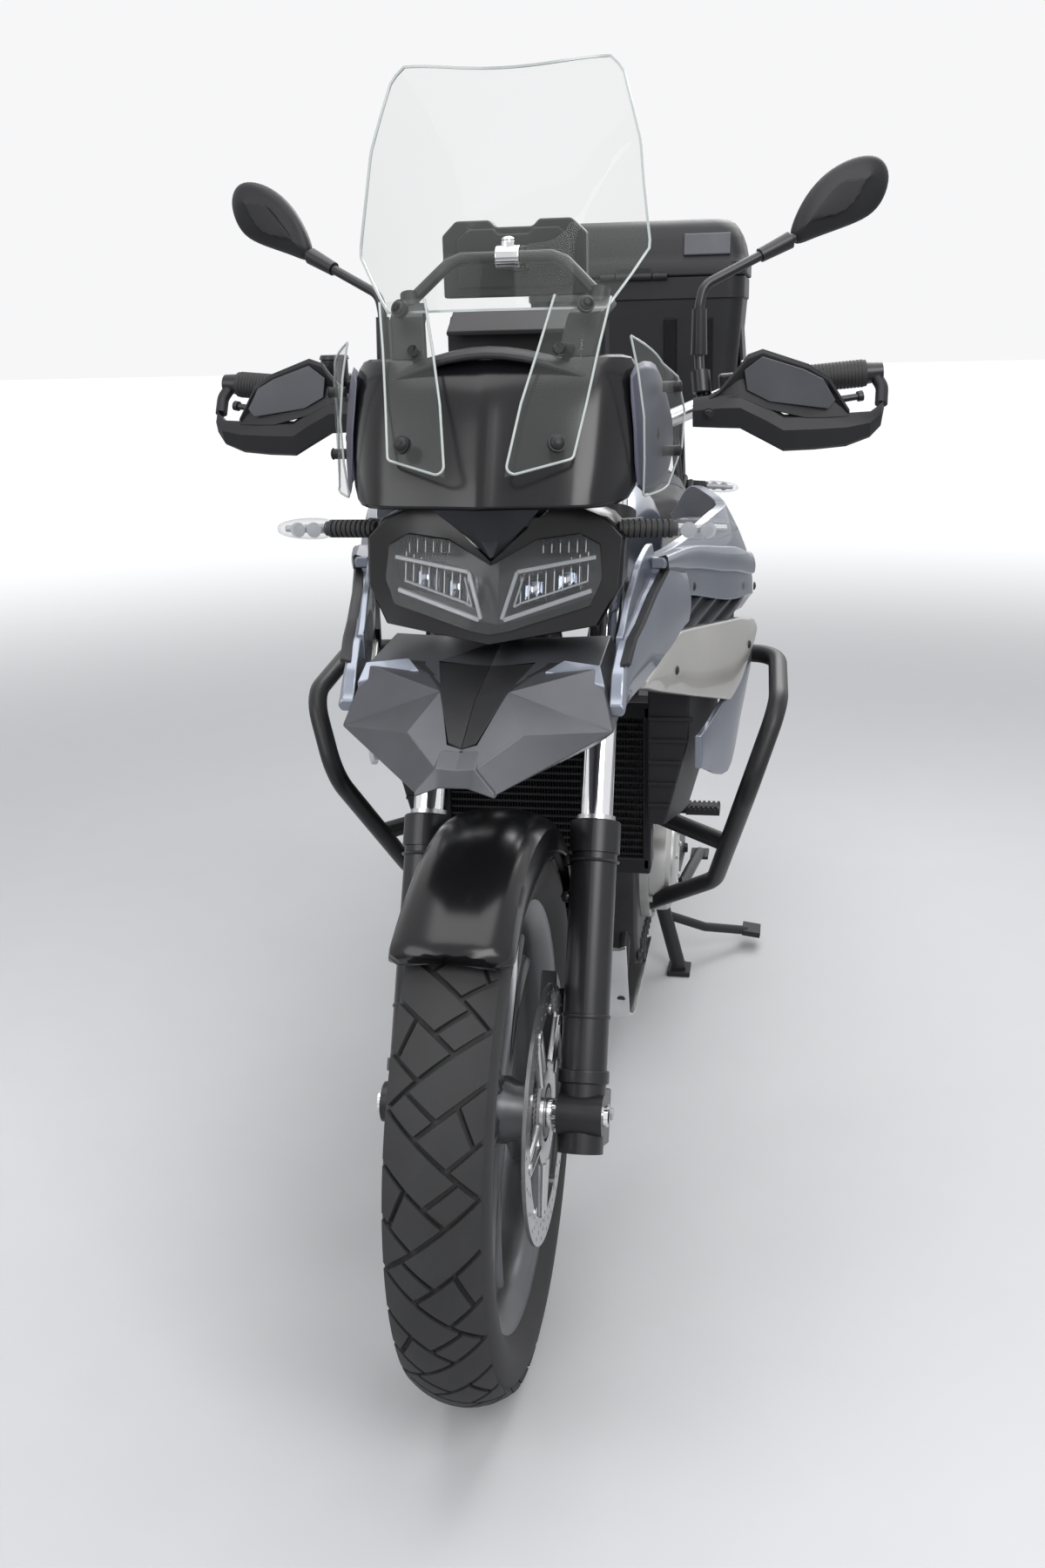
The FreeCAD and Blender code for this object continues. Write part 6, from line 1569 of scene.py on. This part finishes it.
def gear(bm, centre, teeth, radius, bore):
    """A toothed ring; the teeth stand between the chain's rollers."""
    heights = (-5.2, -3.6, 1.6, 4.4, 1.6, -3.6)
    angles = turns(teeth * len(heights))
    tips = [spoke(a) * (radius + heights[index % len(heights)]) for index, a in enumerate(angles)]
    roots = [spoke(a) * bore for a in angles]
    loops = [[bm.verts.new(centre + (p + ACROSS * y) * MM) for p in ring] for y, ring in
             ((-3, roots), (-3, tips), (3, tips), (3, roots))]
    for low, high in zip(loops, loops[1:] + loops[:1]):
        for index in range(len(angles)):
            bm.faces.new([low[index - 1], low[index], high[index], high[index - 1]])


def rear_sprocket():
    """The toothed ring on its bolted carrier."""
    with piece("driven_sprocket", "chain_steel", ("rear_sprocket",), "rear_wheel", angle=30) as bm:
        centre = at(SPINDLE_X, CHAIN_Y, SPINDLE_Z)
        gear(bm, centre, BIG_TEETH, BIG_RADIUS, 88)
        lathe(bm, centre, ACROSS, band(44, 58, -3, 3), 64)
        for a in turns(6):
            out, aside = spoke(a), spoke(a + pi / 2)
            prism(bm, [centre + (out * far + aside * wide - ACROSS * 3) * MM for far, wide in
                       ((56, 11), (90, 8), (90, -8), (56, -11))], (0, 6, 0))
            bolt(bm, centre + (out * 52 + ACROSS * 3) * MM, ACROSS, 5, 4)


def stands():
    """Centre stand with its pedal, and the side stand on its leaning pin."""
    with piece("stand_tubes", "frame_black", ("centre_stand",), "centre_stand", bevel=1) as bm:
        tube(bm, [(STAND_X, 106, STAND_Z), (-1140, 110, 130), (-1126, 144, 8)], 14, bend=40, sides=28)
        block(bm, (-1127, 144, 4.6), (54, 44, 9))
        block(bm, (-1127, 144, 12), (30, 26, 8))
        both(bm)
        cross_rod(bm, STAND_X, -137, 137, STAND_Z, 18, 32)
        cross_rod(bm, -1140, -108, 108, 140, 14, 28)
        tube(bm, [(-1140, 112, 115), (-1190, 190, 70), (-1262, 268, 36)], 9, bend=30, sides=24)
    with piece("stand_pedal", "frame_black", body="centre_stand", angle=30, bevel=0.8) as bm:
        block(bm, (-1270, 280, 34.5), (50, 36, 11), (-8, "X"))
        for step in range(5):
            block(bm, (-1270, 266 + step * 7, 41 - step), (46, 3, 2.4))
    pin = at(-905, 161, 266)
    end = pin + Vector((-262, 18, -30)) * MM
    axis = Vector((0, 0.913545, 0.406737)) * MM
    with piece("prop_leg", "frame_black", ("side_stand",), "side_stand", bevel=0.6) as bm:
        tube(bm, [pin, pin + Vector((-91.7, 8, -6)) * MM, end], 10, sides=28)
        rod(bm, pin - axis * 9, pin + axis * 9, 16, sides=32)
    with piece("prop_foot", "frame_black", body="side_stand", angle=30, bevel=1.6) as bm:
        block(bm, end + Vector((-4, 0, -4.6)) * MM, (50, 34, 6.6))
        block(bm, end + Vector((-4, 0, -1)) * MM, (30, 18, 6))
    with piece("prop_bolt", "chrome") as bm:
        rod(bm, pin + axis * 10, pin + axis * 14, 9, sides=6)


def footrests():
    """Toothed pegs with rubbers for the rider, and plain ones for the passenger."""
    with piece("footpeg_steel", "frame_black", ("footrests",), bevel=0.8) as bm:
        block(bm, (-1006, 193, 378), (40, 60, 11))
        for step in range(7):
            for x in (-1024, -988):
                block(bm, (x, 168 + step * 8.6, 384.5), (6, 5, 6))
        cross_rod(bm, -1006, 150, 172, 380, 11, 28)
        tube(bm, [(-1190, 118, 668), (-1290, 160, 556), (-1290, 182, 553)], 9, bend=30)
        both(bm)
    with piece("footpeg_rubber", "rubber", bevel=0.6) as bm:
        block(bm, (-1006, 193, 385), (24, 54, 5))
        for step in range(6):
            y = 184 + step * 9
            z = 553 - (y - 182) * 0.1
            rod(bm, (-1290, y, z), (-1290, y + 6, z - 0.5), 10.4, sides=24)
        rod(bm, (-1290, 180, 554), (-1290, 235, 548), 9, sides=24)
        both(bm)


# Seats and tail

VOXEL = 6
CLOTH_FRAMES = 20
PUFF = 5


def take_modifiers(thing):
    """Makes what the modifiers show into the thing's own mesh."""
    mesh = bpy.data.meshes.new_from_object(thing.evaluated_get(bpy.context.evaluated_depsgraph_get()))
    thing.modifiers.clear()
    thing.data = mesh


def cushion(name, rows, node_name):
    """A foam pad with a sewn cover, blown up a little as cloth from a slightly smaller form."""
    bm = bmesh.new()
    sections = []
    for index, (x, top, half) in enumerate(rows):
        end = {0: -1, len(rows) - 1: 1}.get(index, 0)
        x += 5 * end
        sunk = 4 * abs(end)
        low = rail_at(x)[1] + RAIL_TOP + 1
        ring = [(0, low), (half - 17, low), (half - 7, low + 14), (half - 5, top - 30), (half - 12, top - 14),
                (half - 30, top - 6), (half * 0.45, top - 3 - sunk), (0, top - 2 - sunk)]
        sections.append([(x, y, z) for y, z in ring + [(-y, z) for y, z in reversed(ring[1:-1])]])
    skin(bm, sections)
    bmesh.ops.recalc_face_normals(bm, faces=bm.faces)
    pad = new_object(name, new_mesh(name, bm))
    grid = pad.modifiers.new("grid", "REMESH")
    grid.mode = "VOXEL"
    grid.voxel_size = VOXEL * MM
    take_modifiers(pad)
    plain = [v.co.copy() for v in pad.data.vertices]
    cover = pad.modifiers.new("cover", "CLOTH").settings
    cover.use_pressure = True
    cover.uniform_pressure_force = 4
    cover.effector_weights.gravity = 0
    cover.quality = 5
    for step in range(1, CLOTH_FRAMES + 1):
        bpy.context.scene.frame_set(step)
    take_modifiers(pad)
    bpy.context.scene.frame_set(1)
    for vert, old in zip(pad.data.vertices, plain):
        move = vert.co - old
        if move.length > PUFF * MM:
            move *= PUFF * MM / move.length
        vert.co = old + move
    subdivide(pad, 1)
    take_modifiers(pad)
    pad.data.polygons.foreach_set("use_smooth", [True] * len(pad.data.polygons))
    pad.data.materials.clear()
    pad.data.materials.append(LOOKS["seat_cover"])
    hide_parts(node_name)
    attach(pad, "chassis")
    return pad


def sewn_lines(rows):
    """Where the seams run: each is a row of places beside the seat and the direction to it."""
    x0, x1 = rows[0][0] - 16, rows[-1][0] + 16
    steps = [x0 + (x1 - x0) * share for share in shares(round((x0 - x1) / 7))]
    for side in (1, -1):
        yield [at(x, side * 260, between(rows, x)[1] - 22) for x in steps], ACROSS * -side
    for share in (0.32, 0.72):
        x = x0 + (x1 - x0) * share
        half = between(rows, x)[2] - 22
        yield [at(x - 14 * sin(pi * t), half * (2 * t - 1), 1200) for t in shares(40)], -UP


def seats():
    """Two padded seats, with ribs and stitches laid on their covers."""
    for name, node_name, rows in (
            ("rider_cushion", "rider_seat", ((-888, 838, 92), (-940, 826, 112), (-1000, 818, 128), (-1090, 818, 144),
                                             (-1180, 826, 150), (-1245, 844, 151), (-1290, 866, 150))),
            ("pillion_cushion", "passenger_seat", ((-1296, 900, 150), (-1370, 911, 149), (-1450, 918, 142),
                                                   (-1550, 926, 124), (-1640, 930, 104)))):
        mesh = cushion(name, rows, node_name).data
        tree = BVHTree.FromPolygons([v.co for v in mesh.vertices], [tuple(p.vertices) for p in mesh.polygons])
        seams = []
        for line, aim in sewn_lines(rows):
            hits = [tree.ray_cast(start, aim)[:2] for start in line]
            seams.append([(spot, normal) for spot, normal in hits if spot is not None])
        with piece(name + "_seams", "rubber", angle=60) as bm:
            for points in seams:
                tube(bm, [spot - normal * (0.2 * MM) for spot, normal in points], 1.5, bend=4, sides=8)
        with piece(name + "_stitches", "dark_grey", angle=60) as bm:
            for points in seams:
                for (a, normal), (b, _) in zip(points, points[1:]):
                    along = b - a
                    spot = a + along.cross(normal).normalized() * (6 * MM) + normal * (0.1 * MM)
                    rod(bm, spot, spot + along * 0.55, 0.6, sides=6)


def tail():
    """Side panels, lamp, plate holder and luggage rack."""
    with piece("tail_panels", "dark_grey", ("tail_fairings",), angle=40, bevel=1.5) as bm:
        rows = []
        for x, depth in ((-960, 40), (-1060, 48), (-1180, 56), (-1300, 62), (-1430, 63), (-1560, 60), (-1650, 50),
                         (-1730, 40)):
            y, z = rail_at(x)
            high = z + RAIL_TOP - 3
            rows.append([(x, y + 13 + far, high - depth * down) for far, down in
                         ((0, 1), (6, 1), (10, 0.86), (14, 0.64), (16, 0.5), (14.5, 0.25), (11, 0.06), (9, 0), (0, 0))])
        skin(bm, rows)
        for x in (-1060, -1640):
            y, z = rail_at(x)
            cross_rod(bm, x, y, y + 18, z, 5)
        both(bm)
    with piece("tail_bolts", "chrome") as bm:
        for x in (-1010, -1690):
            y, z = rail_at(x)
            dome(bm, (x, y + 26, z - 12), ACROSS, 6, 2.6)
        both(bm)
    with piece("tail_lamp_box", "black_plastic", angle=25, bevel=1.5) as bm:
        slab(bm, -59, 118, ((-1751, 877), (-1766, 881), (-1762, 925), (-1751, 925)))
    with piece("tail_lamp_lens", "red_lens", ("tail_lamp",), angle=25, bevel=3, segments=3) as bm:
        slab(bm, -57, 114, ((-1764, 882), (-1780, 886), (-1775, 924), (-1762, 923)))
    with piece("tail_lamp_cells", "red_lens", bevel=0.5) as bm:
        for index in range(9):
            block(bm, (-1778, -48 + index * 12, 905), (2.4, 6, 24), (-7, "Y"))
    with piece("plate_arm", "black_plastic", ("plate_holder",), angle=30, bevel=4, segments=3) as bm:
        skin(bm, [[(x0, half, z0), (x0, -half, z0), (x1, -half * 0.9, z1), (x1, half * 0.9, z1)]
                  for x0, z0, x1, z1, half in
                  ((-1702, 866, -1750, 883, 44), (-1760, 790, -1800, 806, 40), (-1880, 662, -1899, 699, 42))])
    with piece("plate_frame", "black_plastic", angle=30, bevel=1.5) as bm:
        slab(bm, -90, 180, ((-1897, 704), (-1903, 705.6), (-1951, 560.4), (-1944, 558)))
    with piece("plate_blank", "white_panel", angle=30) as bm:
        slab(bm, -84, 168, ((-1903.5, 700), (-1904.6, 700.2), (-1950, 565), (-1949, 564.6)))
    with piece("plate_reflector", "red_lens", bevel=1) as bm:
        rod(bm, (-1893, 0, 738), (-1899, 0, 740), 16, sides=40)
    with piece("rack_frame", "frame_black", ("luggage_rack",), bevel=1.2) as bm:
        for x, foot in ((-1700, -1680), (-1860, -1745)):
            tube(bm, [(x, 86, 1021), (x, 86, 981), (foot, 98, rail_at(foot)[1])], 9, bend=24, sides=24)
        tube(bm, [(-1655, 75, 1024.6), (-1692, 113, 1024.6), (-1998, 113, 1024.6), (-2024, 86, 1024.6)], 7, bend=30)
        both(bm)
        half = [(-1650, 70), (-1690, 114), (-1996, 114), (-2026, 88)]
        prism(bm, [(x, y, 1018.4) for x, y in half] + [(x, -y, 1018.4) for x, y in reversed(half)], (0, 0, 13))
        for x in range(-1740, -2000, -40):
            block(bm, (x, 0, 1017), (10, 180, 4))


# Top case

CASE_REAR, CASE_FRONT, CASE_HALF = -2060, -1680, 228
HINGE_X, HINGE_Z = -1676, 1308.3


def case_ring(z, inset, corner=37):
    """The case's outline at a height, with round corners."""
    rear, front, half = CASE_REAR + inset + corner, CASE_FRONT - inset - corner, CASE_HALF - inset - corner
    loop = []
    for x, y, start in ((front, half, 0), (rear, half, 90), (rear, -half, 180), (front, -half, 270)):
        for angle in (radians(start + 90 * share) for share in shares(8)):
            loop.append((x + corner * cos(angle), y + corner * sin(angle), z))
    return loop


def top_case():
    """Hollow tub and lid with ribs, latch, lock and hinge."""
    with piece("case_tub", "black_plastic", ("top_case_base",), bevel=0.8) as bm:
        skin(bm, [case_ring(*values) for values in
                  ((1032.4, 26, 34), (1034, 22.6, 36), (1044, 21.2, 36), (1120, 15, 36), (1200, 8.6, 36),
                   (1262, 3.7, 36), (1264, 0.5, 36), (1305, 0.3, 36), (1307.6, 2, 36), (1307.6, 8, 30),
                   (1200, 14, 30), (1040, 27, 30))])
    with piece("case_ribs", "black_plastic", angle=30, bevel=2) as bm:
        # These four are mirrored onto themselves: each stands twice in one place and shows as a dark strip.
        for y in (-150, -75, 75, 150):
            block(bm, (CASE_FRONT - 12, y, 1150), (10, 26, 150), (4.6, "Y"))
        block(bm, (-1870, 219, 1170), (220, 8, 110), (4.6, "X"))
        cross_rod(bm, HINGE_X, 38.4, 70, HINGE_Z, 7.8, 28)
        both(bm)
        cross_rod(bm, HINGE_X, -70, 70, HINGE_Z, 3.9)
    with piece("case_latch", "dark_grey", angle=30, bevel=2) as bm:
        block(bm, (CASE_REAR + 2, 0, 1262), (8, 110, 60), (-3, "Y"))
        block(bm, (CASE_REAR + 0.2, 0, 1240), (8, 74, 14))
    with piece("case_lock", "chrome", bevel=0.8) as bm:
        rod(bm, (CASE_REAR + 4, 0, 1270), (CASE_REAR - 2.8, 0, 1270), 10, sides=32)
    with piece("case_lid_shell", "black_plastic", ("top_case_lid",), "case_lid") as bm:
        skin(bm, [case_ring(*values) for values in
                  ((1419.8, 90, 26), (1419.4, 52, 30), (1416, 36, 34), (1409, 23, 36), (1398, 14.5), (1378, 7),
                   (1352, 1.5), (1337, -1.8), (1334, -3.8), (1311, -3.8), (1308.6, -2), (1308.6, 4, 30),
                   (1334, 4, 30), (1394, 22, 30), (1412, 54, 26), (1414.5, 90, 26))])
    with piece("case_lid_ribs", "black_plastic", body="case_lid", angle=30, bevel=1.2) as bm:
        for y in (59, 118):
            block(bm, (-1870, y, 1418.2), (250, 14, 3))
        slab(bm, 226, 4, ((-1740, 1322), (-2000, 1322), (-1990, 1344), (-1752, 1344)))
        both(bm)
        cross_rod(bm, HINGE_X, -37.4, 37.4, HINGE_Z, 7.8, 28)
        block(bm, (-1680, 0, 1318), (8, 74, 16))
    with piece("case_lid_panels", "dark_grey", body="case_lid", angle=30, bevel=3, segments=3) as bm:
        block(bm, (CASE_FRONT - 3, 150, 1368), (8, 96, 44), (-13, "Y"))
        both(bm)


for make in (wheels, mudguard, fork_details, calipers, beak, lamp, screen, cowl, deflectors, handguards, mirrors,
             controls, shroud, tank, indicators, crash_bars, instruments, frame_tubes, engine, exhaust, radiator,
             skid_plate, swingarm, shock, chain, rear_sprocket, stands, footrests, seats, tail, top_case):
    make()

bpy.context.scene.view_settings.view_transform = "Standard"
